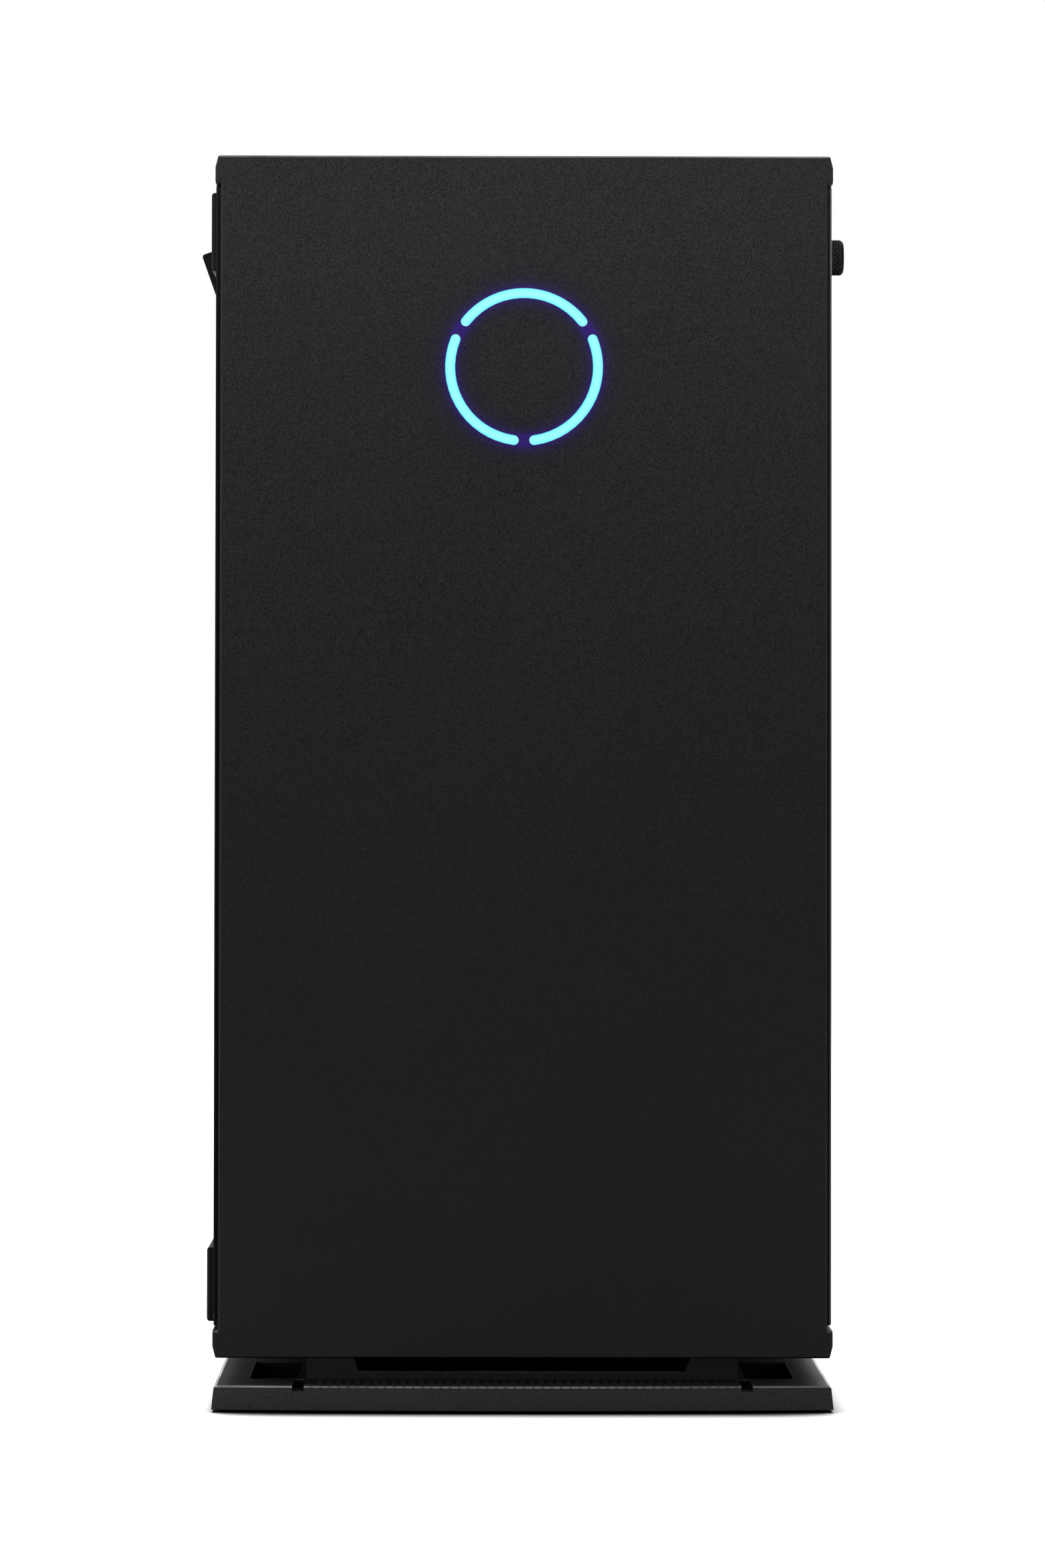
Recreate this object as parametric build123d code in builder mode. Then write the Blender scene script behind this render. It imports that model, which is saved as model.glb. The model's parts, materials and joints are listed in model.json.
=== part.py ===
from build123d import *
from math import cos, radians, sin
import os

os.makedirs("parts", exist_ok=True)

# Folded steel body
sheet = 1.2                 # outer sheet thickness
inner_sheet = 1.0           # inner frame sheet thickness
bend = 2.0                  # outside radius of the folded corners
lip = 8.2                   # height of the folded lips along top and bottom
lip_lean = 0.9              # lips lean in by this much towards their folded edge
lip_lean_rise = 3.6         # and start to lean this far from that edge
lip_round = 0.6             # rounded corners of the lips and the fascia
panel_inset = 0.3           # side panels sit this far inside the lips
panel_depth = 3.0           # glass thickness and depth of the steel panel's folds
panel_reveal = 1.4          # strip of side panel seen beside the fascia
panel_gap = 0.5             # gap between a panel's top edge and the lip above it
panel_foot_gap = 1.5        # gap between a panel's bottom edge and the lip below it
fit = 0.3                   # running clearance between pieces that move past each other

# Room inside, which sets the body's outside size
psu_foot = 3.3              # raised pads under the power supply and the disk drive
psu_width = 150.0
psu_height = 86.0
psu_length = 140.0
psu_headroom = 4.0          # between power supply and bay cover
psu_side_gap = 4.0          # between power supply and bay cover's side
psu_far_gap = 9.4           # between power supply and board tray
board_lift = 9.0            # between bay cover and main board
board_height = 244.0
board_depth = 244.0
board_thickness = 1.6
board_headroom = 15.3       # between main board and top cover
standoff_height = 6.5
cable_room = 15.0           # behind the board tray
fascia_thickness = 1.5
fascia_cavity = 14.0        # air space behind the fascia
intake_fan_depth = 25.0
front_room = 72.5           # free length ahead of the main board
board_rear_gap = 2.8        # main board edge to rear wall

# Stand
pad_proud = 1.0             # rubber pads lift the base this far off the table
pad_radius = 7.0
pad_sink = 1.5              # pad recess depth in the base
pad_inset = 20.0            # pad centre from the base's sides
base_thickness = 7.2
base_inset = 0.5            # base top edge inside the body's side
base_flare = 0.75           # base foot wider than its top edge, each side
base_bow = 4.0              # front edge bows forward at the middle
base_round = 0.8            # rounded top edge
base_rear_inset = 6.0       # base ends this far ahead of the rear wall
base_skin = 2.6             # base top left above the pockets underneath
base_rib = 3.0
base_pockets = (3, 4)       # pockets across and along
stand_gap = 8.3             # air space between base and body
neck_width = 132.0
neck_wall = 3.0
neck_setback = 21.5         # neck front wall behind the base's front corners
neck_rear_inset = 40.0      # neck ends this far ahead of the rear wall
air_door_width = 100.0      # air opening in the neck's front wall, at its foot
air_door_splay = 2.4        # opening widens by this much each side at its top
air_door_sill = 2.4
pit_width = 15.0            # open pits beside the neck
pit_length = 60.0
pit_depth = 4.5
pit_gap = 2.4               # between neck and pit
strip_length = 136.0        # mesh strip let into the base ahead of the neck
strip_depth = 17.0
strip_thickness = 1.6
strip_hole = 2.0
strip_pitch = 2.8
strip_notch = 3.6           # finger notches at both ends of the strip
filter_thickness = 4.0
filter_rim = 6.0
filter_length = 250.0
filter_handle = 12.0        # pull tab behind the filter
mesh_thickness = 0.6
mesh_hole = 7.0
mesh_pitch = 10.0
mesh_rows = 10
mesh_columns = 22

# Emblem
emblem_radius = 22.5        # middle line of the lit ring
emblem_stroke = 3.0
emblem_bridge = 16.0        # degrees left dark between the three arcs
emblem_drop = 64.3          # ring centre below the body's top
guide_flange = 4.0          # light guide rim beyond the ring
guide_thickness = 2.0
lamp_gap = 4.0              # between light guide and lamp board
lamp_board_thickness = 1.6
lamp_size = 3.0
lamp_count = 9

# Left panel fittings
leg_thickness = 2.0         # rail leg behind the glass that ends in the pivot bead
leg_height = 24.0
bead_radius = 1.5
ledge = 1.8                 # ledge under the pivot bead
bead_end_gap = 1.0          # bead stops short of front frame and rear wall
top_rail_proud = 1.8        # rails stand this far outside the lips
low_rail_proud = 2.4
top_rail_height = 24.1
low_rail_height = 22.5
rail_edge = 1.2             # top rail set in from the glass edge
rail_web = 2.0              # bottom rail wraps this far under the glass
rail_end = 18.0             # rail set in from the front and rear
rail_round = 1.0
lever_width = 44.0
lever_length = 19.6
lever_thickness = 4.0
lever_tilt = 19.5           # degrees the lever stands open
lever_barrel = 2.0
lever_drop = 1.4            # pivot below the rail's bottom edge
lever_air = 0.4             # barrel clear of the glass
lever_bridge = 3.0          # rail left above the lever's opening
lug_width = 5.0
lug_radius = 2.0
pin_radius = 1.0
magnet_radius = 5.0
magnet_thickness = 2.7
magnet_spread = 220.0
magnet_drop = 10.0          # magnet centre below the glass top
strike_width = 16.0
strike_length = 30.0        # strike tabs hang this far below the top cover

# Right panel fittings
knob_radius = 5.9
knob_length = 13.6
knob_drop = 7.5             # knob centre below the panel's top edge
knob_neck = 2.5
knob_grooves = 24
groove_depth = 0.35
screw_bore = 2.3
thread_radius = 1.75
thread_length = 9.0
vent_radius = 2.7           # six-sided vent holes, corner radius
vent_web = 1.0              # metal left between neighbouring holes
panel_vent_columns = 7
panel_vent_rows = 22
panel_vent_back = 38.0      # vent field centre behind the front

# Top controls
bezel_length = 108.0
bezel_width = 16.0
bezel_flange = 4.0
bezel_flange_thickness = 2.0
bezel_back = 34.0           # bezel middle behind the front
bezel_post = 5.0
port_board_thickness = 1.6
port_board_drop = 13.2      # port board top below the body's top
button_radius = 6.0
reset_radius = 2.2
button_step = 1.2           # flange that keeps a button in the bezel
button_travel = 1.5
switch_height = 3.0
switch_size = 6.0
bezel_end = 5.0             # plain length at both ends of the bezel
port_width = 14.4
port_depth = 7.0
port_wall = 0.7
port_tongue = 1.8
small_port_width = 9.8
small_port_depth = 4.2
jack_size = 8.0
jack_radius = 1.8
jack_length = 12.0
port_sink = 0.2             # port mouths below the body's top

# Main board fittings
hole_radius = 2.0
hole_rear = 33.0            # rear column of mounting holes from the rear edge
hole_front = 8.0
hole_top = 7.0
hole_low = 10.0
standoff_radius = 3.0
standoff_bore = 1.6
screw_head_radius = 3.0
screw_head = 1.8
screw_radius = 1.4
screw_length = 5.0
io_length = 158.75
io_width = 44.45
io_drop = 4.0               # opening below the board's top edge
io_under = 4.0              # opening reaches past the board towards the tray
shield_rim = 2.5
shield_thickness = 0.8
port_proud = 1.0
port_reach = 18.0           # rear ports reach this far over the board
port_cavity = 10.0
socket_size = 45.0
socket_height = 4.0
chip_size = 37.0
chip_height = 3.4
cpu_back = 92.0             # processor from the board's rear edge
cpu_drop = 78.0             # processor below the board's top edge
cooler_base = 40.0
cooler_base_height = 9.0
pipe_radius = 3.0
pipe_pitch = 10.0
fin_first = 38.0            # first fin above the main board
fin_count = 27
fin_pitch = 3.4
fin_thickness = 0.6
fin_depth = 46.0
fin_height = 94.0
small_fan = 92.0
small_fan_depth = 25.0
small_fan_inset = 4.75      # mounting holes from the frame's sides
memory_count = 4
memory_pitch = 9.5
memory_length = 133.0
memory_height = 33.0
memory_thickness = 6.0
memory_slot_length = 142.0
memory_slot_width = 6.6
memory_slot_height = 8.0
memory_groove = 1.4
memory_groove_depth = 5.0
memory_front = 137.0        # first memory slot from the board's rear edge
memory_drop = 8.0           # memory slots below the board's top edge
vrm_back = 28.0             # regulator heatsink from the board's rear edge
vrm_width = 22.0
vrm_length = 78.0
vrm_height = 22.0
vrm_drop = 32.0
cap_length = 62.0           # second regulator heatsink above the processor
cap_width = 16.0
cap_drop = 8.0
hub_heatsink = 42.0
hub_height = 9.0
hub_back = 178.0
hub_rise = 26.0
groove_pitch = 4.4
groove_width = 2.0
stick_length = 80.0
stick_width = 22.0
stick_thickness = 5.0
stick_lift = 3.0
stick_gap = 4.7             # storage stick behind the last memory slot
stick_rise = 9.0            # storage stick above the graphics card
connector_length = 52.0
connector_width = 10.0
connector_height = 8.0
connector_front = 4.0
connector_drop = 84.0

# Expansion slots and graphics card
slot_pitch = 20.32
slot_first = 12.0           # first slot below the rear port opening
slot_height = 13.0
slot_length = 100.0
slot_start = 10.0           # slot opening from the main board face
slot_block_height = 11.0
slot_block_width = 7.5
slot_block_length = 89.0
slot_block_back = 52.0
short_block_length = 25.0
blank_thickness = 0.8
blank_lap = 3.0
card_length = 222.0
card_height = 105.0
card_thickness = 1.6
card_lift = 1.5             # card edge clear of its slot block
card_finger = 8.0
card_finger_inset = 4.0
card_slack = 0.2
shroud_drop = 38.0          # card depth below its circuit board
shroud_wall = 2.0
shroud_front = 3.0          # shroud past the card's front edge
shroud_rear_gap = 8.0
card_fan_margin = 6.5       # fan opening inside the shroud's walls
card_fan_depth = 9.0
card_sink_height = 15.0
card_sink_fins = 30
card_sink_fin = 0.8
card_die = 30.0
card_die_height = 3.0
motor_plate = 1.5
display_port_width = 17.0
display_port_height = 6.5
display_ports = 3

# Fans and power supply
fan_wall = 1.6
fan_hub = 0.42              # hub radius as a share of the blade radius
fan_tip = 1.2               # blade tip clearance
fan_blades = 9
blade_thickness = 1.2
strut = 4.0
motor_thickness = 3.0
hub_clear = 0.6
fan_hole_radius = 2.2
intake_fan = 120.0
intake_fan_inset = 7.5      # mounting holes from the frame's sides
intake_fan_rise = 70.0      # intake fan above the bay cover
psu_wall = 1.0
psu_fan = 58.0
psu_fan_depth = 16.0
psu_bar = 8.0
psu_vent_columns = 13
psu_vent_rows = 9
inlet_width = 27.0
inlet_height = 20.0
inlet_depth = 18.0
inlet_wall = 2.0
inlet_rim = 2.0
inlet_rim_thickness = 1.5
inlet_pin_width = 4.0
inlet_pin_thickness = 2.0
inlet_pin_length = 13.0
inlet_pin_spread = 7.0
inlet_pin_rise = 4.0
inlet_side = 24.0           # inlet middle from the supply's right side
inlet_rise = 27.0           # inlet middle above the supply's bottom
switch_rise = 60.0          # rocker middle above the supply's bottom
rocker_width = 19.0
rocker_height = 13.0
rocker_thickness = 9.0
rocker_frame = 2.0
rocker_tilt = 8.0           # degrees each way from the middle
rear_screw_inset = 6.0

# Disk drive and cable
drive_length = 147.0
drive_width = 101.6
drive_height = 26.1
drive_front_gap = 6.0
drive_side_gap = 24.0
drive_round = 3.0
drive_lid = 1.2
cable_radius = 4.5
cable_bend = 11.0
cable_slot_length = 70.0
cable_slot_width = 18.0
cable_slot_gap = 8.0        # cable slot ahead of the main board
cable_loop = 30.0           # cable arches this far over its plug
cable_exit_rise = 48.0
cable_exit_length = 30.0
plug_height = 14.0

# Levels, upwards from the table
z_base = pad_proud
z_base_top = z_base + base_thickness
z_body = z_base_top + stand_gap
z_floor = z_body + sheet
z_psu = z_floor + psu_foot
z_psu_top = z_psu + psu_height
z_cover = z_psu_top + psu_headroom
z_cover_top = z_cover + inner_sheet
z_board = z_cover_top + board_lift
z_board_top = z_board + board_height
z_roof = z_board_top + board_headroom
z_top = z_roof + sheet
z_lip = z_body + lip
z_lip_top = z_top - lip
z_panel = z_lip + panel_foot_gap
z_panel_top = z_lip_top - panel_gap

# Stations, from the front to the rear
body_depth = (fascia_thickness + fascia_cavity + inner_sheet + intake_fan_depth + front_room
              + board_depth + board_rear_gap + sheet)
y_front = -body_depth / 2
y_rear = body_depth / 2
y_fascia = y_front + fascia_thickness
y_frame = y_fascia + fascia_cavity
y_frame_back = y_frame + inner_sheet
y_fan_back = y_frame_back + intake_fan_depth
y_wall = y_rear - sheet
y_board_rear = y_wall - board_rear_gap
y_board_front = y_board_rear - board_depth

# Stations, from the left to the right
bay_width = inner_sheet + psu_side_gap + psu_width + psu_far_gap
body_width = (2 * panel_inset + panel_depth + leg_thickness / 2 + bead_radius + fit + bay_width
              + inner_sheet + cable_room + sheet)
half = body_width / 2
x_panel = half - panel_inset
x_inside = x_panel - panel_depth
x_edge = x_inside - panel_gap
x_tray = x_panel - sheet - cable_room - inner_sheet
x_board_back = x_tray - standoff_height
x_board = x_board_back - board_thickness
x_pivot = x_inside - leg_thickness / 2
z_pivot = z_floor + ledge + fit + bead_radius
x_cover = -(x_pivot - bead_radius - fit)
small_fan_holes = small_fan - 2 * small_fan_inset
intake_fan_holes = intake_fan - 2 * intake_fan_inset
bead_front = y_frame_back + bead_end_gap
bead_rear = y_wall - bead_end_gap


def block(x0, x1, y0, y1, z0, z1, mode=Mode.ADD):
    """Box between two opposite corners."""
    with Locations(((x0 + x1) / 2, (y0 + y1) / 2, (z0 + z1) / 2)):
        Box(x1 - x0, y1 - y0, z1 - z0, mode=mode)


def rod_x(x0, x1, y, z, radius, mode=Mode.ADD):
    """Round bar along X."""
    with Locations(Location(((x0 + x1) / 2, y, z), (0, 90, 0))):
        Cylinder(radius, x1 - x0, mode=mode)


def rod_y(y0, y1, x, z, radius, mode=Mode.ADD):
    """Round bar along Y."""
    with Locations(Location((x, (y0 + y1) / 2, z), (90, 0, 0))):
        Cylinder(radius, y1 - y0, mode=mode)


def rod_z(z0, z1, x, y, radius, mode=Mode.ADD):
    """Round bar along Z."""
    with Locations((x, y, (z0 + z1) / 2)):
        Cylinder(radius, z1 - z0, mode=mode)


def facing_front(y):
    """Upright plane at depth y whose normal looks to the front: local x is X, local y is Z."""
    return Plane.XZ.offset(-y)


def facing_right(x):
    """Upright plane at x whose normal looks to the right: local x is Y, local y is Z."""
    return Plane.YZ.offset(x)


def fan_frame(plane, size, depth, spacing):
    """Square fan frame on its mounting face: round bore, corner holes, struts and motor plate."""
    bore = size / 2 - fan_wall
    with BuildPart(plane) as frame:
        with BuildSketch(plane) as outline:
            RectangleRounded(size, size, bend)
            Circle(bore, mode=Mode.SUBTRACT)
            with GridLocations(spacing, spacing, 2, 2):
                Circle(fan_hole_radius, mode=Mode.SUBTRACT)
        extrude(outline.sketch, amount=depth)
        with BuildSketch(plane) as spider:
            Rectangle(2 * bore + fan_wall, strut)
            Rectangle(strut, 2 * bore + fan_wall)
            Circle(bore * fan_hub)
        extrude(spider.sketch, amount=motor_thickness)
    return frame.part


def fan_rotor(plane, bore, depth, count):
    """Hub and pitched blades turning about the plane's normal, starting at the plane."""
    tip = bore - fan_tip
    hub = bore * fan_hub
    middle = depth / 2
    with BuildPart() as blade:
        for radius, pitch, chord in ((hub - blade_thickness, 46, 0.86), (tip, 27, 1.2)):
            root = Plane(origin=(radius, 0, middle), x_dir=(0, 1, 0), z_dir=(1, 0, 0))
            with BuildSketch(root):
                Rectangle(chord * depth, blade_thickness, rotation=pitch)
        loft()
    with BuildPart(plane) as wheel:
        with Locations((0, 0, middle)):
            Cylinder(hub, depth)
        with PolarLocations(0, count):
            add(blade.part)
        with Locations((0, 0, middle)):
            Cylinder(tip, depth, mode=Mode.INTERSECT)
    return wheel.part


# Stand
base_front = y_front
base_rear = y_rear - base_rear_inset
base_half = half - base_inset
neck_half = neck_width / 2
neck_front = base_front + neck_setback
neck_rear = y_rear - neck_rear_inset
strip_half = strip_length / 2
strip_rear = neck_front - fit
pit_near = neck_half + pit_gap
pad_y = (base_front + pad_inset, base_rear - pad_inset)
pad_x = base_half - pad_inset
pocket_front = neck_front + pit_gap + pit_length + base_rib
pocket_rear = pad_y[1] - pad_radius - base_rib
pocket_x = (2 * base_half - 2 * base_rib) / base_pockets[0] - base_rib
pocket_y = (pocket_rear - pocket_front) / base_pockets[1] - base_rib


def lip_corners(z_mouth, z_edge, up):
    """Corners of a folded lip from its mouth on the left round to its mouth on the right."""
    z_bend = z_edge - up * lip_lean_rise
    return ((-half, z_mouth), (-half, z_bend), (-half + lip_lean, z_edge),
            (half - lip_lean, z_edge), (half, z_bend), (half, z_mouth))


def base_outline(grow):
    """Base plan with a bowed front edge, grown sideways and outwards by grow."""
    side, front, rear = base_half + grow, base_front - grow, base_rear + grow
    with BuildLine() as edge:
        Line((-side, front), (-side, rear))
        Line((-side, rear), (side, rear))
        Line((side, rear), (side, front))
        ThreePointArc((side, front), (0, front - base_bow), (-side, front))
    make_face(edge.edges())


with BuildPart() as stand_base:
    with BuildSketch(Plane.XY.offset(z_base)) as foot:
        base_outline(base_flare)
    with BuildSketch(Plane.XY.offset(z_base_top)) as brow:
        base_outline(0)
    loft((foot.sketch, brow.sketch), ruled=True)
    chamfer(stand_base.faces().sort_by(Axis.Z)[-1].edges(), base_round)
    for side in (-1, 1):
        with BuildSketch(Plane.XY.offset(z_base_top)) as pit:
            with Locations((side * (pit_near + pit_width / 2), neck_front + pit_gap + pit_length / 2)):
                Rectangle(pit_width, pit_length)
        extrude(pit.sketch, amount=-pit_depth, mode=Mode.SUBTRACT)
        block(side * strip_half - strip_notch / 2, side * strip_half + strip_notch / 2,
              base_front - base_bow - base_flare, strip_rear, z_base_top - strip_thickness, z_base_top,
              mode=Mode.SUBTRACT)
        for y in pad_y:
            rod_z(z_base, z_base + pad_sink, side * pad_x, y, pad_radius, mode=Mode.SUBTRACT)
    block(-strip_half, strip_half, strip_rear - strip_depth, strip_rear,
          z_base_top - strip_thickness, z_base_top, mode=Mode.SUBTRACT)
    with BuildSketch(Plane.XY.offset(z_base)) as pockets:
        with Locations((0, (pocket_front + pocket_rear) / 2)):
            with GridLocations(pocket_x + base_rib, pocket_y + base_rib, *base_pockets):
                RectangleRounded(pocket_x, pocket_y, bend)
    extrude(pockets.sketch, amount=base_thickness - base_skin, mode=Mode.SUBTRACT)
stand_base.part.label = "stand_base"
export_step(stand_base.part, "parts/stand_base.step")

with BuildPart() as intake_mesh_strip:
    with BuildSketch(Plane.XY.offset(z_base_top - strip_thickness)) as strip_face:
        with Locations((0, strip_rear - strip_depth / 2)):
            Rectangle(strip_length - strip_notch, strip_depth)
            with GridLocations(strip_pitch, strip_pitch, int(strip_length / strip_pitch) - 3,
                               int(strip_depth / strip_pitch) - 1):
                Rectangle(strip_hole, strip_hole, mode=Mode.SUBTRACT)
    extrude(strip_face.sketch, amount=strip_thickness)
intake_mesh_strip.part.label = "intake_mesh_strip"
export_step(intake_mesh_strip.part, "parts/intake_mesh_strip.step")

with BuildPart() as foot_pads:
    for side in (-1, 1):
        for y in pad_y:
            rod_z(z_base - pad_proud, z_base + pad_sink, side * pad_x, y, pad_radius)
foot_pads.part.label = "foot_pads"
export_step(foot_pads.part, "parts/foot_pads.step")

with BuildPart() as stand_neck:
    block(-neck_half, neck_half, neck_front, neck_rear, z_base_top, z_body)
    block(-neck_half + neck_wall, neck_half - neck_wall, neck_front + neck_wall, neck_rear,
          z_base_top, z_body, mode=Mode.SUBTRACT)
    with BuildSketch(facing_front(neck_front + neck_wall)) as air_door:
        with BuildLine():
            Polyline((-air_door_width / 2, z_base_top + air_door_sill),
                     (air_door_width / 2, z_base_top + air_door_sill),
                     (air_door_width / 2 + air_door_splay, z_body),
                     (-air_door_width / 2 - air_door_splay, z_body), close=True)
        make_face()
    extrude(air_door.sketch, amount=neck_wall, mode=Mode.SUBTRACT)
stand_neck.part.label = "stand_neck"
export_step(stand_neck.part, "parts/stand_neck.step")

filter_half = neck_half - neck_wall - fit
filter_front = neck_rear - filter_length
z_filter = z_base_top + fit
z_mesh = z_filter + (filter_thickness - mesh_thickness) / 2

with BuildPart() as filter_frame:
    block(-filter_half, filter_half, filter_front, neck_rear, z_filter, z_filter + filter_thickness)
    block(-filter_half + filter_rim, filter_half - filter_rim, filter_front + filter_rim,
          neck_rear - filter_rim, z_filter, z_filter + filter_thickness, mode=Mode.SUBTRACT)
    block(-filter_half / 3, filter_half / 3, neck_rear, neck_rear + filter_handle,
          z_filter, z_filter + filter_thickness)
    block(-filter_half + filter_rim / 2, filter_half - filter_rim / 2, filter_front + filter_rim / 2,
          neck_rear - filter_rim / 2, z_mesh, z_mesh + mesh_thickness, mode=Mode.SUBTRACT)
filter_frame.part.label = "filter_frame"
export_step(filter_frame.part, "parts/filter_frame.step")

with BuildPart() as filter_mesh:
    with BuildSketch(Plane.XY.offset(z_mesh)) as mesh_face:
        with Locations((0, (filter_front + neck_rear) / 2)):
            Rectangle(2 * filter_half - filter_rim, filter_length - filter_rim)
            with GridLocations(mesh_pitch, mesh_pitch, mesh_rows, mesh_columns):
                Rectangle(mesh_hole, mesh_hole, mode=Mode.SUBTRACT)
    extrude(mesh_face.sketch, amount=mesh_thickness)
filter_mesh.part.label = "filter_mesh"
export_step(filter_mesh.part, "parts/filter_mesh.step")

# Folded body
psu_left = x_cover + inner_sheet + psu_side_gap
psu_right = psu_left + psu_width
psu_front = y_wall - psu_length
psu_middle_x = (psu_left + psu_right) / 2
psu_middle_y = (psu_front + y_wall) / 2
drive_left = x_cover + inner_sheet + drive_side_gap
drive_right = drive_left + drive_width
drive_front = y_frame_back + drive_front_gap
drive_rear = drive_front + drive_length
pad_side = 10.0

with BuildPart() as bottom_shell:
    with BuildSketch(facing_front(y_rear)) as channel:
        with BuildLine():
            Polyline(*lip_corners(z_lip, z_body, -1), close=True)
        make_face()
        fillet(channel.vertices().group_by(Axis.Y)[0], lip_round)
        with Locations((0, (z_floor + z_lip) / 2)):
            Rectangle(body_width - 2 * sheet, lip - sheet, mode=Mode.SUBTRACT)
    extrude(channel.sketch, amount=y_rear - y_fascia)
    for side in (-1, 1):
        block(side * x_pivot - bead_radius, side * x_pivot + bead_radius, bead_front, bead_rear,
              z_floor, z_floor + ledge)
    for low, high, front, rear in ((psu_left, psu_right, psu_front, y_wall),
                                   (drive_left, drive_right, drive_front, drive_rear)):
        for x in (low, high - pad_side):
            for y in (front + pad_side, rear - 2 * pad_side):
                block(x, x + pad_side, y, y + pad_side, z_floor, z_floor + psu_foot)
    with BuildSketch(Plane.XY.offset(z_floor)) as grille:
        with Locations((psu_middle_x, psu_middle_y)):
            with GridLocations(4 * pad_side / 3, 3 * pad_side, 7, 3):
                SlotOverall(2 * pad_side, pad_side / 2, rotation=90)
        with Locations((0, (drive_front + drive_rear) / 2)):
            with GridLocations(4 * pad_side / 3, 3 * pad_side, 7, 3):
                SlotOverall(2 * pad_side, pad_side / 2, rotation=90)
    extrude(grille.sketch, amount=-sheet, mode=Mode.SUBTRACT)
bottom_shell.part.label = "bottom_shell"
export_step(bottom_shell.part, "parts/bottom_shell.step")

bezel_y = y_front + bezel_back
x_magnet = -x_inside + magnet_thickness
x_strike = x_magnet + fit
z_magnet = z_panel_top - magnet_drop
z_knob = z_panel_top - knob_drop
x_nut = x_panel - sheet - magnet_thickness - fit

with BuildPart() as top_cover:
    with BuildSketch(facing_front(y_rear)) as roof:
        with BuildLine():
            Polyline(*lip_corners(z_lip_top, z_top, 1), close=True)
        make_face()
        fillet(roof.vertices().group_by(Axis.Y)[-1], lip_round)
        with Locations((0, (z_roof + z_lip_top) / 2)):
            Rectangle(body_width - 2 * sheet, lip - sheet, mode=Mode.SUBTRACT)
    extrude(roof.sketch, amount=y_rear - y_fascia)
    for y in (-magnet_spread / 2, magnet_spread / 2):
        block(x_strike, x_strike + sheet, y - strike_width / 2, y + strike_width / 2,
              z_roof - strike_length, z_roof)
    block(x_nut - sheet, x_nut, -strike_width / 2, strike_width / 2, z_roof - strike_length, z_roof)
    rod_x(x_nut - sheet, x_nut, 0, z_knob, screw_bore, mode=Mode.SUBTRACT)
    block(-bezel_length / 2 - fit, bezel_length / 2 + fit, bezel_y - bezel_width / 2 - fit,
          bezel_y + bezel_width / 2 + fit, z_roof, z_top, mode=Mode.SUBTRACT)
top_cover.part.label = "top_cover"
export_step(top_cover.part, "parts/top_cover.step")

fascia_half = x_panel - panel_reveal
flange_half = x_edge
z_emblem = z_top - emblem_drop


def emblem_arcs(stroke):
    """Three equal arcs of one ring, each with rounded ends."""
    sweep = 120 - emblem_bridge
    for turn in (90, 210, 330):
        with BuildLine(mode=Mode.PRIVATE) as arc:
            CenterArc((0, z_emblem), emblem_radius, turn - sweep / 2, sweep)
        SlotArc(arc.edges()[0], stroke)


with BuildPart() as front_fascia:
    with BuildSketch(facing_front(y_fascia)) as face:
        with BuildLine():
            Polyline(*lip_corners(z_lip_top, z_top, 1), (fascia_half, z_lip_top), (fascia_half, z_lip),
                     *lip_corners(z_lip, z_body, -1)[::-1], (-fascia_half, z_lip),
                     (-fascia_half, z_lip_top), close=True)
        make_face()
        fillet(face.vertices(), lip_round)
    extrude(face.sketch, amount=fascia_thickness)
    chamfer(front_fascia.faces().sort_by(Axis.Y)[0].edges(), fascia_thickness / 3)
    with BuildSketch(facing_front(y_fascia)) as slots:
        emblem_arcs(emblem_stroke)
    extrude(slots.sketch, amount=fascia_thickness, mode=Mode.SUBTRACT)
    for side in (-1, 1):
        block(side * (flange_half - sheet / 2) - sheet / 2, side * (flange_half - sheet / 2) + sheet / 2,
              y_fascia, y_frame, z_panel, z_panel_top)
front_fascia.part.label = "front_fascia"
export_step(front_fascia.part, "parts/front_fascia.step")

guide_radius = emblem_radius + emblem_stroke / 2 + guide_flange
guide_back = y_fascia + guide_thickness
lamp_front = guide_back + lamp_gap
lamp_back = lamp_front + lamp_board_thickness

with BuildPart() as emblem_light_guide:
    with BuildSketch(facing_front(guide_back)) as disc:
        with Locations((0, z_emblem)):
            Circle(guide_radius)
    extrude(disc.sketch, amount=guide_thickness)
    with BuildSketch(facing_front(y_fascia)) as arcs:
        emblem_arcs(emblem_stroke - panel_inset / 3)
    extrude(arcs.sketch, amount=fascia_thickness)
    with BuildSketch(facing_front(lamp_front)) as rim:
        with Locations((0, z_emblem)):
            Circle(guide_radius)
            Circle(guide_radius - guide_thickness, mode=Mode.SUBTRACT)
    extrude(rim.sketch, amount=lamp_gap)
emblem_light_guide.part.label = "emblem_light_guide"
export_step(emblem_light_guide.part, "parts/emblem_light_guide.step")

with BuildPart() as emblem_led_board:
    with BuildSketch(facing_front(lamp_back)) as lamp_disc:
        with Locations((0, z_emblem)):
            Circle(guide_radius)
    extrude(lamp_disc.sketch, amount=lamp_board_thickness)
    with BuildSketch(facing_front(lamp_front)) as lamps:
        with Locations((0, z_emblem)):
            with PolarLocations(emblem_radius, lamp_count):
                Rectangle(lamp_size, lamp_size)
    extrude(lamps.sketch, amount=lamp_gap / 3)
emblem_led_board.part.label = "emblem_led_board"
export_step(emblem_led_board.part, "parts/emblem_led_board.step")

intake_x = (x_cover + x_tray) / 2
intake_z = z_cover_top + intake_fan_rise + intake_fan / 2

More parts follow.
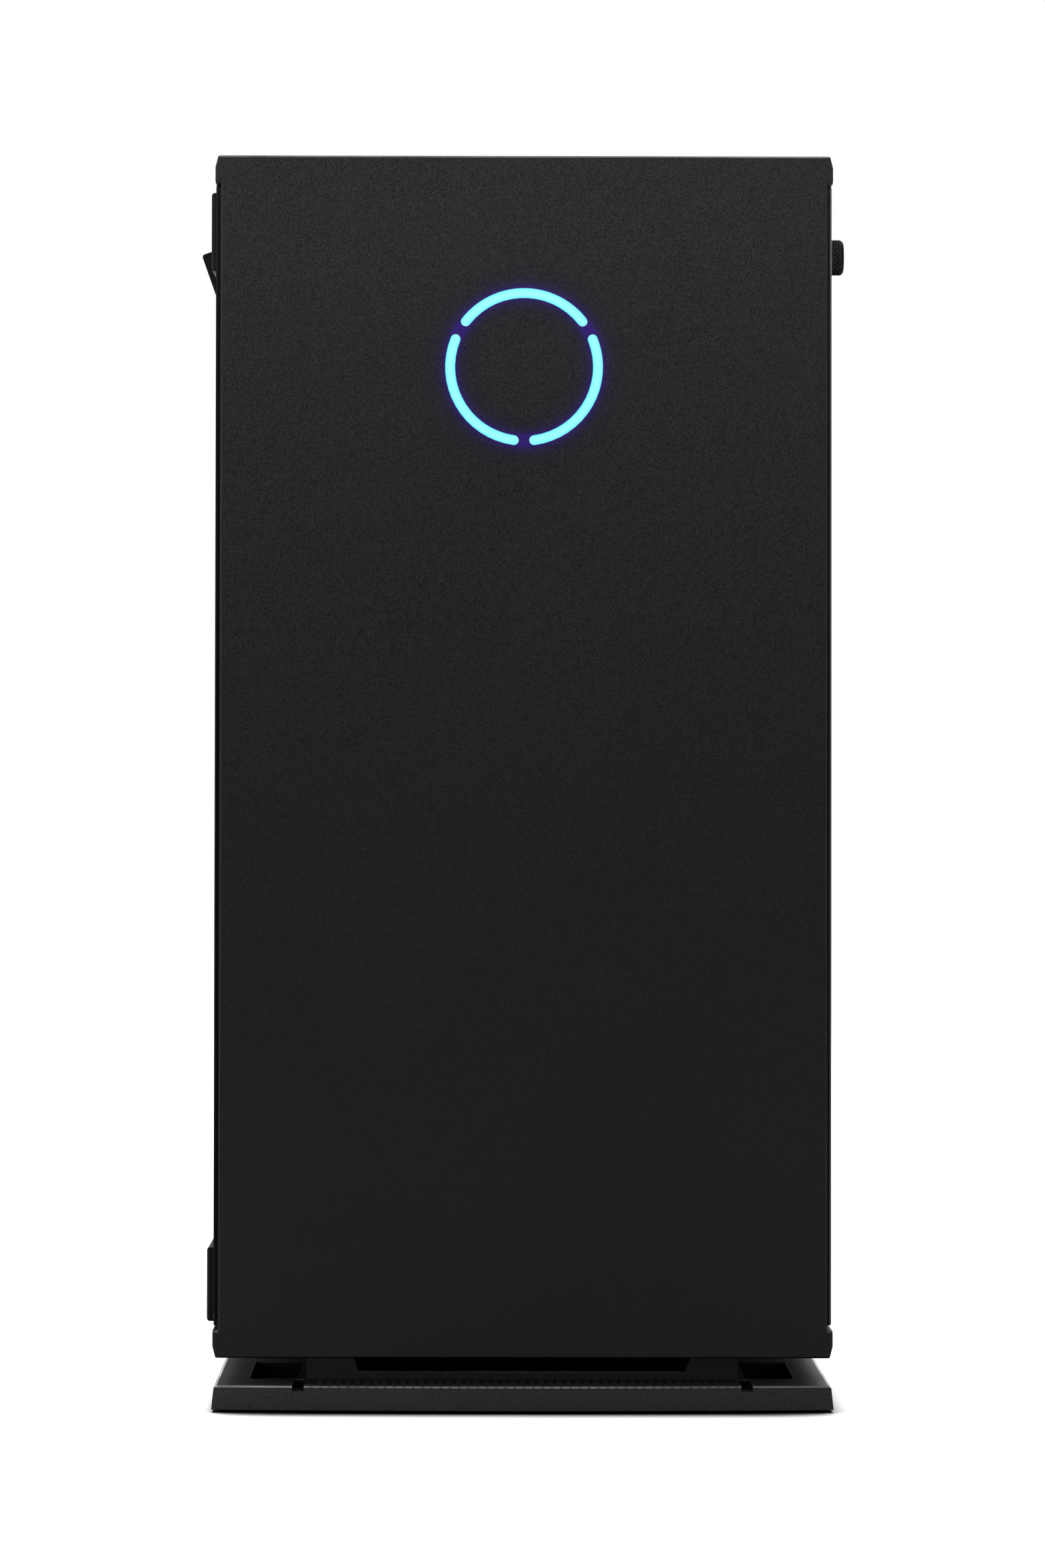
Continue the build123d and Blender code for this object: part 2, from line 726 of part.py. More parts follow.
with BuildPart() as front_frame:
    with BuildSketch(facing_front(y_frame_back)) as frame_face:
        with Locations((0, (z_floor + z_roof) / 2)):
            Rectangle(2 * x_edge, z_roof - z_floor)
        with Locations((intake_x, intake_z)):
            Circle(intake_fan / 2 - fan_wall, mode=Mode.SUBTRACT)
            with GridLocations(intake_fan_holes, intake_fan_holes, 2, 2):
                Circle(fan_hole_radius, mode=Mode.SUBTRACT)
    extrude(frame_face.sketch, amount=inner_sheet)
front_frame.part.label = "front_frame"
export_step(front_frame.part, "parts/front_frame.step")

# Openings of the rear wall
z_io_top = z_board_top - io_drop
z_io = z_io_top - io_length
x_io_right = x_board + io_under
x_io_left = x_io_right - io_width
slot_right = x_board - slot_start
slot_left = slot_right - slot_length
slot_count = int((z_io - slot_first - slot_height / 2 - blank_lap - z_cover_top) / slot_pitch) + 1
slot_z = [z_io - slot_first - slot_pitch * number for number in range(slot_count)]
rear_fan_x = (x_io_left - shield_rim - x_inside) / 2
rear_fan_z = z_board_top - cpu_drop
inlet_x = psu_right - inlet_side
inlet_z = z_psu + inlet_rise
rocker_z = z_psu + switch_rise
vent_pitch = vent_radius * sin(radians(60)) + vent_web / 2
psu_vent_x = (psu_left + inlet_x - inlet_width / 2) / 2
psu_vent_z = (z_psu + z_psu_top) / 2
psu_screws = [(x, z) for x in (psu_left + rear_screw_inset, psu_right - rear_screw_inset)
              for z in (z_psu + rear_screw_inset, z_psu_top - rear_screw_inset)]

with BuildPart() as rear_wall:
    with BuildSketch(facing_front(y_rear)) as wall_face:
        with Locations((0, (z_floor + z_roof) / 2)):
            Rectangle(2 * x_edge, z_roof - z_floor)
        with Locations(((x_io_left + x_io_right) / 2, (z_io + z_io_top) / 2)):
            Rectangle(io_width, io_length, mode=Mode.SUBTRACT)
        for z in slot_z:
            with Locations(((slot_left + slot_right) / 2, z)):
                Rectangle(slot_length, slot_height, mode=Mode.SUBTRACT)
        with Locations((rear_fan_x, rear_fan_z)):
            Circle(small_fan / 2 - fan_wall, mode=Mode.SUBTRACT)
            for ring in (0.3, 0.55, 0.8):
                Circle(ring * small_fan / 2)
                Circle(ring * small_fan / 2 - sheet, mode=Mode.SUBTRACT)
            Rectangle(small_fan - fan_wall, 2 * sheet)
            Rectangle(2 * sheet, small_fan - fan_wall)
            with GridLocations(small_fan_holes, small_fan_holes, 2, 2):
                Circle(screw_radius + fit, mode=Mode.SUBTRACT)
        with Locations((psu_middle_x, psu_vent_z)):
            Rectangle(psu_width - 2 * rear_screw_inset, psu_height - 4 * rear_screw_inset, mode=Mode.SUBTRACT)
            Rectangle(psu_width - 4 * rear_screw_inset, psu_height - rear_screw_inset, mode=Mode.SUBTRACT)
        for x, z in psu_screws:
            with Locations((x, z)):
                Circle(screw_radius + fit, mode=Mode.SUBTRACT)
    extrude(wall_face.sketch, amount=sheet)
rear_wall.part.label = "rear_wall"
export_step(rear_wall.part, "parts/rear_wall.step")

cable_y = y_board_front - cable_slot_gap - cable_slot_width / 2
connector_z = z_board_top - connector_drop
connector_y = y_board_front + connector_front + connector_width / 2
exit_y = psu_front - cable_exit_length
exit_z = z_psu + cable_exit_rise
hole_spots = [(y, z) for y in (y_board_rear - hole_rear, y_board_front + hole_front)
              for z in (z_board_top - hole_top, (z_board + z_board_top) / 2, z_board + hole_low)]

with BuildPart() as motherboard_tray:
    with BuildSketch(facing_right(x_tray)) as tray_face:
        with Locations(((y_frame_back + y_wall) / 2, (z_floor + z_roof) / 2)):
            Rectangle(y_wall - y_frame_back, z_roof - z_floor)
        with Locations((cable_y, connector_z)):
            SlotOverall(cable_slot_length, cable_slot_width, rotation=90, mode=Mode.SUBTRACT)
        with Locations((exit_y, exit_z)):
            SlotOverall(cable_slot_length / 2, cable_slot_width, rotation=90, mode=Mode.SUBTRACT)
        with Locations((y_board_rear - cpu_back, z_board_top - cpu_drop)):
            RectangleRounded(2 * socket_size, 2 * socket_size, socket_size / 4, mode=Mode.SUBTRACT)
    extrude(tray_face.sketch, amount=inner_sheet)
motherboard_tray.part.label = "motherboard_tray"
export_step(motherboard_tray.part, "parts/motherboard_tray.step")

with BuildPart() as psu_shroud:
    block(x_cover, x_tray, y_frame_back, y_wall, z_cover, z_cover_top)
    block(x_cover, x_cover + inner_sheet, y_frame_back, y_wall, z_floor, z_cover)
    with BuildSketch(Plane.XY.offset(z_cover)) as louvres:
        with Locations((psu_middle_x, psu_middle_y)):
            with GridLocations(2 * pad_side, pad_side, 5, 9):
                SlotOverall(3 * pad_side / 2, pad_side / 2)
    extrude(louvres.sketch, amount=inner_sheet, mode=Mode.SUBTRACT)
psu_shroud.part.label = "psu_shroud"
export_step(psu_shroud.part, "parts/psu_shroud.step")

# Left panel
glass_front = y_fascia + panel_gap
x_rail = half + top_rail_proud
x_low_rail = half + low_rail_proud
z_rail = z_panel_top - rail_edge - top_rail_height
z_rail_top = z_panel_top - rail_edge
z_glass = z_panel + rail_web
z_low_rail_top = z_panel + low_rail_height
x_lever = -x_panel - lever_air - lever_barrel
z_lever = z_rail - lever_drop
rail_front = y_front + rail_end
rail_rear = y_rear - rail_end

with BuildPart() as glass_pane:
    block(-x_panel, -x_inside, glass_front, y_rear, z_glass, z_panel_top)
    fillet(glass_pane.edges().filter_by(Axis.X), bend)
    chamfer(glass_pane.faces().sort_by(Axis.X)[0].edges(), panel_inset)
glass_pane.part.label = "glass_pane"
export_step(glass_pane.part, "parts/glass_pane.step")

with BuildPart() as glass_top_rail:
    block(-x_rail, -x_panel, rail_front, rail_rear, z_rail, z_rail_top)
    fillet(glass_top_rail.faces().sort_by(Axis.X)[0].edges(), rail_round)
    block(-x_rail - rail_round, -x_panel, -lever_width / 2 - fit, lever_width / 2 + fit,
          z_rail - rail_round, z_rail_top - lever_bridge, mode=Mode.SUBTRACT)
    for side in (-1, 1):
        inner = side * (lever_width / 2 + fit)
        outer = side * (lever_width / 2 + fit + lug_width)
        rod_y(min(inner, outer), max(inner, outer), x_lever, z_lever, lug_radius)
        block(x_lever - lug_radius, -x_panel - lever_air, min(inner, outer), max(inner, outer),
              z_lever, z_rail + lug_width)
    rod_y(-lever_width / 2 - fit - lug_width, lever_width / 2 + fit + lug_width, x_lever, z_lever,
          pin_radius, mode=Mode.SUBTRACT)
glass_top_rail.part.label = "glass_top_rail"
export_step(glass_top_rail.part, "parts/glass_top_rail.step")

with BuildPart() as latch_pin:
    rod_y(-lever_width / 2 - fit - lug_width, lever_width / 2 + fit + lug_width, x_lever, z_lever,
          pin_radius)
latch_pin.part.label = "latch_pin"
export_step(latch_pin.part, "parts/latch_pin.step")

lever_plane = Plane(origin=(x_lever, 0, z_lever), x_dir=(cos(radians(lever_tilt)), 0, sin(radians(lever_tilt))),
                    z_dir=(0, -1, 0))

with BuildPart() as latch_lever:
    with BuildSketch(lever_plane.offset(-lever_width / 2)) as lever_side:
        Circle(lever_barrel)
        with Locations((0, lever_length / 2)):
            Rectangle(lever_thickness, lever_length)
        Circle(pin_radius + fit / 4, mode=Mode.SUBTRACT)
    extrude(lever_side.sketch, amount=lever_width)
    fillet(latch_lever.edges().filter_by(Axis.Y).sort_by(Axis.Z)[-2:], rail_round)
latch_lever.part.label = "latch_lever"
export_step(latch_lever.part, "parts/latch_lever.step")

with BuildPart() as glass_bottom_rail:
    block(-x_low_rail, -x_panel, rail_front, rail_rear, z_panel, z_low_rail_top)
    fillet(glass_bottom_rail.faces().sort_by(Axis.X)[0].edges(), rail_round)
    block(-x_panel, -x_inside, glass_front, y_rear, z_panel, z_glass)
    block(-x_inside, -x_inside + leg_thickness, bead_front, bead_rear, z_pivot, z_panel + leg_height)
    rod_y(bead_front, bead_rear, -x_pivot, z_pivot, bead_radius)
glass_bottom_rail.part.label = "glass_bottom_rail"
export_step(glass_bottom_rail.part, "parts/glass_bottom_rail.step")

with BuildPart() as panel_magnets:
    for y in (-magnet_spread / 2, magnet_spread / 2):
        rod_x(-x_inside, x_magnet, y, z_magnet, magnet_radius)
panel_magnets.part.label = "panel_magnets"
export_step(panel_magnets.part, "parts/panel_magnets.step")

# Right panel
with BuildPart() as right_side_panel:
    block(x_inside, x_panel, glass_front, y_rear, z_panel, z_panel_top)
    fillet(right_side_panel.edges().filter_by(Axis.X), bend)
    fillet(right_side_panel.faces().sort_by(Axis.X)[-1].edges(), lip_round)
    block(x_inside, x_panel - sheet, glass_front + sheet, y_rear - sheet, z_panel + sheet, z_panel_top - sheet,
          mode=Mode.SUBTRACT)
    block(x_pivot - sheet / 2, x_pivot + sheet / 2, bead_front, bead_rear, z_pivot, z_panel + sheet)
    block(x_pivot - sheet / 2, x_inside + sheet, bead_front, bead_rear, z_panel, z_panel + sheet)
    rod_y(bead_front, bead_rear, x_pivot, z_pivot, bead_radius)
    rod_x(x_panel - sheet, x_panel, 0, z_knob, screw_bore, mode=Mode.SUBTRACT)
    with BuildSketch(facing_right(x_panel - sheet)) as honeycomb:
        with Locations((y_front + panel_vent_back, (z_panel + z_panel_top) / 2)):
            with HexLocations(vent_pitch, panel_vent_columns, panel_vent_rows):
                RegularPolygon(vent_radius, 6)
    extrude(honeycomb.sketch, amount=sheet, mode=Mode.SUBTRACT)
right_side_panel.part.label = "right_side_panel"
export_step(right_side_panel.part, "parts/right_side_panel.step")

with BuildPart() as panel_thumbscrew:
    knob_foot = x_panel + panel_inset / 2
    rod_x(knob_foot, knob_foot + knob_length, 0, z_knob, knob_radius)
    chamfer(panel_thumbscrew.faces().sort_by(Axis.X)[-1].edges(), rail_round)
    with BuildSketch(facing_right(knob_foot + knob_neck)) as knurl:
        with Locations((0, z_knob)):
            with PolarLocations(knob_radius, knob_grooves):
                Rectangle(2 * groove_depth, 2 * groove_depth, rotation=45)
    extrude(knurl.sketch, amount=knob_length - knob_neck - rail_round, mode=Mode.SUBTRACT)
    rod_x(knob_foot - thread_length, knob_foot, 0, z_knob, thread_radius)
panel_thumbscrew.part.label = "panel_thumbscrew"
export_step(panel_thumbscrew.part, "parts/panel_thumbscrew.step")

# Top controls
control_widths = (jack_size, jack_size, port_width, port_width, small_port_width, 2 * reset_radius,
                  2 * button_radius)
control_gap = (bezel_length - 2 * bezel_end - sum(control_widths)) / (len(control_widths) - 1)
control_x = [-bezel_length / 2 + bezel_end + sum(control_widths[:number]) + number * control_gap + width / 2
             for number, width in enumerate(control_widths)]
jack_x, port_x = control_x[:2], control_x[2:4]
small_port_x, reset_x, power_x = control_x[4:]
z_bezel = z_roof - bezel_flange_thickness
z_port_board = z_top - port_board_drop
z_mouth = z_top - port_sink
flange_length = bezel_length + 2 * bezel_flange
flange_width = bezel_width + 2 * bezel_flange
z_button_step = z_bezel - fit - button_step
z_stem = z_port_board + switch_height + button_travel + fit

with BuildPart() as io_bezel:
    block(-bezel_length / 2, bezel_length / 2, bezel_y - bezel_width / 2, bezel_y + bezel_width / 2,
          z_bezel, z_top)
    block(-flange_length / 2, flange_length / 2, bezel_y - flange_width / 2, bezel_y + flange_width / 2,
          z_bezel, z_roof)
    for side in (-1, 1):
        block(side * (flange_length - bezel_post) / 2 - bezel_post / 2,
              side * (flange_length - bezel_post) / 2 + bezel_post / 2,
              bezel_y - bezel_width / 2, bezel_y + bezel_width / 2, z_port_board, z_bezel)
    with BuildSketch(Plane.XY.offset(z_bezel)) as mouths:
        with Locations((power_x, bezel_y)):
            Circle(button_radius + fit)
        with Locations((reset_x, bezel_y)):
            Circle(reset_radius + fit)
        for x in port_x:
            with Locations((x, bezel_y)):
                Rectangle(port_width + fit, port_depth + fit)
        with Locations((small_port_x, bezel_y)):
            RectangleRounded(small_port_width + fit, small_port_depth + fit, small_port_depth / 2)
        for x in jack_x:
            with Locations((x, bezel_y)):
                Circle(jack_size / 2 + fit)
    extrude(mouths.sketch, amount=z_top - z_bezel, mode=Mode.SUBTRACT)
io_bezel.part.label = "io_bezel"
export_step(io_bezel.part, "parts/io_bezel.step")

with BuildPart() as io_board:
    block(-flange_length / 2, flange_length / 2, bezel_y - bezel_width / 2, bezel_y + bezel_width / 2,
          z_port_board - port_board_thickness, z_port_board)
    for x in (power_x, reset_x):
        block(x - switch_size / 2, x + switch_size / 2, bezel_y - switch_size / 2, bezel_y + switch_size / 2,
              z_port_board, z_port_board + switch_height)
io_board.part.label = "io_board"
export_step(io_board.part, "parts/io_board.step")

with BuildPart() as power_button:
    rod_z(z_button_step, z_top, power_x, bezel_y, button_radius)
    fillet(power_button.faces().sort_by(Axis.Z)[-1].edges(), rail_round / 2)
    rod_z(z_button_step, z_button_step + button_step, power_x, bezel_y, button_radius + button_step)
    rod_z(z_stem, z_button_step, power_x, bezel_y, button_radius / 3)
power_button.part.label = "power_button"
export_step(power_button.part, "parts/power_button.step")

with BuildPart() as reset_button:
    rod_z(z_stem, z_top, reset_x, bezel_y, reset_radius)
    rod_z(z_button_step, z_button_step + button_step, reset_x, bezel_y, reset_radius + button_step)
reset_button.part.label = "reset_button"
export_step(reset_button.part, "parts/reset_button.step")

with BuildPart() as usb_ports:
    for x in port_x:
        block(x - port_width / 2, x + port_width / 2, bezel_y - port_depth / 2, bezel_y + port_depth / 2,
              z_port_board, z_mouth)
        block(x - port_width / 2 + port_wall, x + port_width / 2 - port_wall,
              bezel_y - port_depth / 2 + port_wall, bezel_y + port_depth / 2 - port_wall,
              z_port_board + port_tongue, z_mouth, mode=Mode.SUBTRACT)
        block(x - port_width / 2 + 2 * port_wall, x + port_width / 2 - 2 * port_wall,
              bezel_y, bezel_y + port_tongue, z_port_board, z_mouth - port_tongue)
    with BuildSketch(Plane.XY.offset(z_port_board)) as small_port:
        with Locations((small_port_x, bezel_y)):
            RectangleRounded(small_port_width, small_port_depth, small_port_depth / 2 - port_sink)
    extrude(small_port.sketch, amount=z_mouth - z_port_board)
    with BuildSketch(Plane.XY.offset(z_mouth)) as small_mouth:
        with Locations((small_port_x, bezel_y)):
            RectangleRounded(small_port_width - 2 * port_wall, small_port_depth - 2 * port_wall,
                             small_port_depth / 2 - port_wall - port_sink)
            Rectangle(small_port_width / 2, port_wall, mode=Mode.SUBTRACT)
    extrude(small_mouth.sketch, amount=-port_cavity, mode=Mode.SUBTRACT)
usb_ports.part.label = "usb_ports"
export_step(usb_ports.part, "parts/usb_ports.step")

with BuildPart() as audio_jacks:
    for x in jack_x:
        rod_z(z_port_board, z_mouth, x, bezel_y, jack_size / 2)
        rod_z(z_mouth - jack_length, z_mouth, x, bezel_y, jack_radius, mode=Mode.SUBTRACT)
audio_jacks.part.label = "audio_jacks"
export_step(audio_jacks.part, "parts/audio_jacks.step")

# Main board
cpu_y = y_board_rear - cpu_back
cpu_z = z_board_top - cpu_drop
x_chip = x_board - socket_height - chip_height
x_cooler = x_chip - cooler_base_height
x_fin = x_board - fin_first
x_fin_end = x_fin - (fin_count - 1) * fin_pitch - fin_thickness
memory_z = z_board_top - memory_drop - memory_slot_length / 2
memory_y = [y_board_rear - memory_front - memory_pitch * number for number in range(memory_count)]

with BuildPart() as motherboard:
    with BuildSketch(facing_right(x_board)) as board_face:
        with Locations(((y_board_front + y_board_rear) / 2, (z_board + z_board_top) / 2)):
            Rectangle(board_depth, board_height)
        with Locations(*hole_spots):
            Circle(hole_radius, mode=Mode.SUBTRACT)
    extrude(board_face.sketch, amount=board_thickness)
    block(x_board - connector_height, x_board, connector_y - connector_width / 2,
          connector_y + connector_width / 2, connector_z - connector_length / 2,
          connector_z + connector_length / 2)
motherboard.part.label = "motherboard"
export_step(motherboard.part, "parts/motherboard.step")

with BuildPart() as board_standoffs:
    for y, z in hole_spots:
        rod_x(x_board_back, x_tray, y, z, standoff_radius)
        rod_x(x_board_back, x_tray, y, z, standoff_bore, mode=Mode.SUBTRACT)
board_standoffs.part.label = "board_standoffs"
export_step(board_standoffs.part, "parts/board_standoffs.step")

with BuildPart() as chassis_screws:
    for y, z in hole_spots:
        rod_x(x_board - screw_head, x_board, y, z, screw_head_radius)
        rod_x(x_board, x_board + screw_length, y, z, screw_radius)
    for x, z in psu_screws:
        rod_y(y_rear, y_rear + screw_head, x, z, screw_head_radius)
        rod_y(y_rear - screw_length, y_rear, x, z, screw_radius)
    for x in (rear_fan_x - small_fan_holes / 2, rear_fan_x + small_fan_holes / 2):
        for z in (rear_fan_z - small_fan_holes / 2, rear_fan_z + small_fan_holes / 2):
            rod_y(y_rear, y_rear + screw_head, x, z, screw_head_radius)
            rod_y(y_rear - screw_length, y_rear, x, z, screw_radius)
chassis_screws.part.label = "chassis_screws"
export_step(chassis_screws.part, "parts/chassis_screws.step")

# Rear ports: width along Z, height off the board, mouths
port_stacks = ((16.0, 17.0, 2), (22.0, 24.0, 2), (16.0, 30.0, 3), (17.0, 30.0, 2), (16.0, 17.0, 2))
jack_stack_width = 14.0
jack_stack_height = 34.0
mouth_share = 0.62
stack_widths = [width for width, height, mouths_up in port_stacks] + [jack_stack_width]
stack_gap = (io_length - sum(stack_widths)) / (len(stack_widths) + 1)
stack_drops = [sum(stack_widths[:number]) + (number + 1) * stack_gap + width / 2
               for number, width in enumerate(stack_widths)]
port_rows = [(drop, *stack) for drop, stack in zip(stack_drops, port_stacks)]
jack_row = stack_drops[-1]
port_mouth = y_rear + port_proud
port_back = y_board_rear - port_reach

with BuildPart() as rear_ports:
    for drop, width, height, mouths_up in port_rows:
        z = z_io_top - drop
        block(x_board - height, x_board, port_back, port_mouth, z - width / 2, z + width / 2)
        step = height / mouths_up
        for number in range(mouths_up):
            x = x_board - step * (number + 0.5)
            block(x - step * mouth_share / 2, x + step * mouth_share / 2, port_mouth - port_cavity, port_mouth,
                  z - width * mouth_share * 0.65, z + width * mouth_share * 0.65, mode=Mode.SUBTRACT)
            block(x, x + port_wall, port_mouth - port_cavity, port_mouth - port_tongue,
                  z - width * mouth_share / 2, z + width * mouth_share / 2)
    z = z_io_top - jack_row
    block(x_board - jack_stack_height, x_board, port_back, port_mouth,
          z - jack_stack_width / 2, z + jack_stack_width / 2)
    for number in range(3):
        rod_y(port_mouth - jack_length, port_mouth, x_board - jack_stack_height * (number + 0.5) / 3, z,
              jack_radius, mode=Mode.SUBTRACT)
rear_ports.part.label = "rear_ports"
export_step(rear_ports.part, "parts/rear_ports.step")

with BuildPart() as io_shield:
    with BuildSketch(facing_front(y_wall)) as shield_face:
        with Locations(((x_io_left + x_io_right) / 2, (z_io + z_io_top) / 2)):
            Rectangle(io_width + 2 * shield_rim, io_length + 2 * shield_rim)
        for drop, width, height, mouths_up in port_rows:
            with Locations((x_board - height / 2, z_io_top - drop)):
                Rectangle(height + fit, width + fit, mode=Mode.SUBTRACT)
        with Locations((x_board - jack_stack_height / 2, z_io_top - jack_row)):
            Rectangle(jack_stack_height + fit, jack_stack_width + fit, mode=Mode.SUBTRACT)
    extrude(shield_face.sketch, amount=shield_thickness)
io_shield.part.label = "io_shield"
export_step(io_shield.part, "parts/io_shield.step")

with BuildPart() as processor:
    block(x_board - socket_height, x_board, cpu_y - socket_size / 2, cpu_y + socket_size / 2,
          cpu_z - socket_size / 2, cpu_z + socket_size / 2)
    block(x_chip, x_board - socket_height, cpu_y - chip_size / 2, cpu_y + chip_size / 2,
          cpu_z - chip_size / 2, cpu_z + chip_size / 2)
processor.part.label = "processor"
export_step(processor.part, "parts/processor.step")

with BuildPart() as cpu_heatsink:
    block(x_cooler, x_chip, cpu_y - cooler_base / 2, cpu_y + cooler_base / 2,
          cpu_z - cooler_base / 2, cpu_z + cooler_base / 2)
    for offset_z in (-1.5 * pipe_pitch, -0.5 * pipe_pitch, 0.5 * pipe_pitch, 1.5 * pipe_pitch):
        rod_x(x_fin_end, x_cooler, cpu_y, cpu_z + offset_z, pipe_radius)
    for number in range(fin_count):
        x = x_fin - number * fin_pitch
        block(x - fin_thickness, x, cpu_y - fin_depth / 2, cpu_y + fin_depth / 2,
              cpu_z - fin_height / 2, cpu_z + fin_height / 2)
cpu_heatsink.part.label = "cpu_heatsink"
export_step(cpu_heatsink.part, "parts/cpu_heatsink.step")

cpu_fan_x = (x_fin + x_fin_end) / 2
cpu_fan_y = cpu_y - fin_depth / 2
cpu_fan_plane = Plane(origin=(cpu_fan_x, cpu_fan_y, cpu_z), x_dir=(1, 0, 0), z_dir=(0, -1, 0))
rear_fan_plane = Plane(origin=(rear_fan_x, y_wall, rear_fan_z), x_dir=(1, 0, 0), z_dir=(0, -1, 0))
intake_plane = Plane(origin=(intake_x, y_fan_back, intake_z), x_dir=(1, 0, 0), z_dir=(0, -1, 0))
rotor_depth = small_fan_depth - motor_thickness - 2 * hub_clear
intake_rotor_depth = intake_fan_depth - motor_thickness - 2 * hub_clear

with BuildPart() as cpu_fan_frame:
    add(fan_frame(cpu_fan_plane, small_fan, small_fan_depth, small_fan_holes))
cpu_fan_frame.part.label = "cpu_fan_frame"
export_step(cpu_fan_frame.part, "parts/cpu_fan_frame.step")

with BuildPart() as cpu_fan_rotor:
    add(fan_rotor(cpu_fan_plane.offset(motor_thickness + hub_clear), small_fan / 2 - fan_wall, rotor_depth,
                  fan_blades))
cpu_fan_rotor.part.label = "cpu_fan_rotor"
export_step(cpu_fan_rotor.part, "parts/cpu_fan_rotor.step")

with BuildPart() as rear_fan_frame:
    add(fan_frame(rear_fan_plane, small_fan, small_fan_depth, small_fan_holes))
rear_fan_frame.part.label = "rear_fan_frame"
export_step(rear_fan_frame.part, "parts/rear_fan_frame.step")

with BuildPart() as rear_fan_rotor:
    add(fan_rotor(rear_fan_plane.offset(motor_thickness + hub_clear), small_fan / 2 - fan_wall, rotor_depth,
                  fan_blades))
rear_fan_rotor.part.label = "rear_fan_rotor"
export_step(rear_fan_rotor.part, "parts/rear_fan_rotor.step")

with BuildPart() as intake_fan_frame:
    add(fan_frame(intake_plane, intake_fan, intake_fan_depth, intake_fan_holes))
intake_fan_frame.part.label = "intake_fan_frame"
export_step(intake_fan_frame.part, "parts/intake_fan_frame.step")

with BuildPart() as intake_fan_rotor:
    add(fan_rotor(intake_plane.offset(motor_thickness + hub_clear), intake_fan / 2 - fan_wall,
                  intake_rotor_depth, fan_blades))
intake_fan_rotor.part.label = "intake_fan_rotor"
export_step(intake_fan_rotor.part, "parts/intake_fan_rotor.step")

with BuildPart() as memory_slots:
    for y in memory_y:
        block(x_board - memory_slot_height, x_board, y - memory_slot_width / 2, y + memory_slot_width / 2,
              memory_z - memory_slot_length / 2, memory_z + memory_slot_length / 2)
        block(x_board - memory_slot_height, x_board - memory_slot_height + memory_groove_depth,
              y - memory_groove / 2, y + memory_groove / 2, memory_z - memory_length / 2,
              memory_z + memory_length / 2, mode=Mode.SUBTRACT)
memory_slots.part.label = "memory_slots"
export_step(memory_slots.part, "parts/memory_slots.step")

with BuildPart() as memory_modules:
    for y in memory_y[1::2]:
        block(x_board - memory_height, x_board - memory_slot_height, y - memory_thickness / 2,
              y + memory_thickness / 2, memory_z - memory_length / 2, memory_z + memory_length / 2)
        block(x_board - memory_height - rail_round, x_board - memory_height, y - memory_thickness / 4,
              y + memory_thickness / 4, memory_z - memory_length / 2, memory_z + memory_length / 2)
memory_modules.part.label = "memory_modules"
export_step(memory_modules.part, "parts/memory_modules.step")

# Board heatsinks: low and high corners in Y and Z, and height off the board
vrm_y = y_board_rear - vrm_back
vrm_z = z_board_top - vrm_drop
hub_y = y_board_rear - hub_back
hub_z = z_board + hub_rise
sink_rows = ((vrm_y - vrm_width, vrm_y, vrm_z - vrm_length, vrm_z, vrm_height),
             (cpu_y - cap_length / 2, cpu_y + cap_length / 2, z_board_top - cap_drop - cap_width,
              z_board_top - cap_drop, vrm_height),
             (hub_y - hub_heatsink, hub_y, hub_z, hub_z + hub_heatsink, hub_height))

with BuildPart() as board_heatsinks:
    for y0, y1, z0, z1, height in sink_rows:
        block(x_board - height, x_board, y0, y1, z0, z1)
        for number in range(1, int((y1 - y0) / groove_pitch)):
            y = y0 + number * groove_pitch
            block(x_board - height, x_board - height / 3, y - groove_width / 2, y + groove_width / 2, z0, z1,
                  mode=Mode.SUBTRACT)
board_heatsinks.part.label = "board_heatsinks"
export_step(board_heatsinks.part, "parts/board_heatsinks.step")

card_z = slot_z[0]
card_rear = y_wall - blank_thickness
card_front = card_rear - card_length
card_edge = x_board - slot_block_height - card_lift
card_out = card_edge - card_height
slot_y1 = y_board_rear - slot_block_back
slot_y0 = slot_y1 - slot_block_length

with BuildPart() as expansion_slots:
    block(x_board - slot_block_height, x_board, slot_y0, slot_y1,
          card_z + card_thickness / 2 - slot_block_width / 2, card_z + card_thickness / 2 + slot_block_width / 2)
    block(x_board - slot_block_height, x_board - slot_block_height + card_finger + card_slack,
          slot_y0 + card_finger_inset - card_slack, slot_y1 - card_finger_inset + card_slack,
          card_z - card_slack, card_z + card_thickness + card_slack, mode=Mode.SUBTRACT)
    for z in slot_z[2:]:
        block(x_board - slot_block_height, x_board, slot_y1 - short_block_length, slot_y1,
              z - slot_block_width / 2, z + slot_block_width / 2)
        block(x_board - slot_block_height, x_board - slot_block_height + card_finger,
              slot_y1 - short_block_length + card_finger_inset, slot_y1 - card_finger_inset,
              z - card_thickness / 2, z + card_thickness / 2, mode=Mode.SUBTRACT)
expansion_slots.part.label = "expansion_slots"
export_step(expansion_slots.part, "parts/expansion_slots.step")

stick_y1 = memory_y[0] + memory_slot_width / 2 + stick_gap + stick_length
stick_z = card_z + card_thickness + stick_rise

with BuildPart() as storage_stick:
    block(x_board - stick_lift - stick_thickness, x_board - stick_lift, stick_y1 - stick_length, stick_y1,
          stick_z, stick_z + stick_width)
    block(x_board - stick_lift, x_board, stick_y1 - stick_thickness, stick_y1, stick_z, stick_z + stick_width)
    rod_x(x_board - stick_lift, x_board, stick_y1 - stick_length + stick_thickness, stick_z + stick_width / 2,
          standoff_radius)
storage_stick.part.label = "storage_stick"
export_step(storage_stick.part, "parts/storage_stick.step")

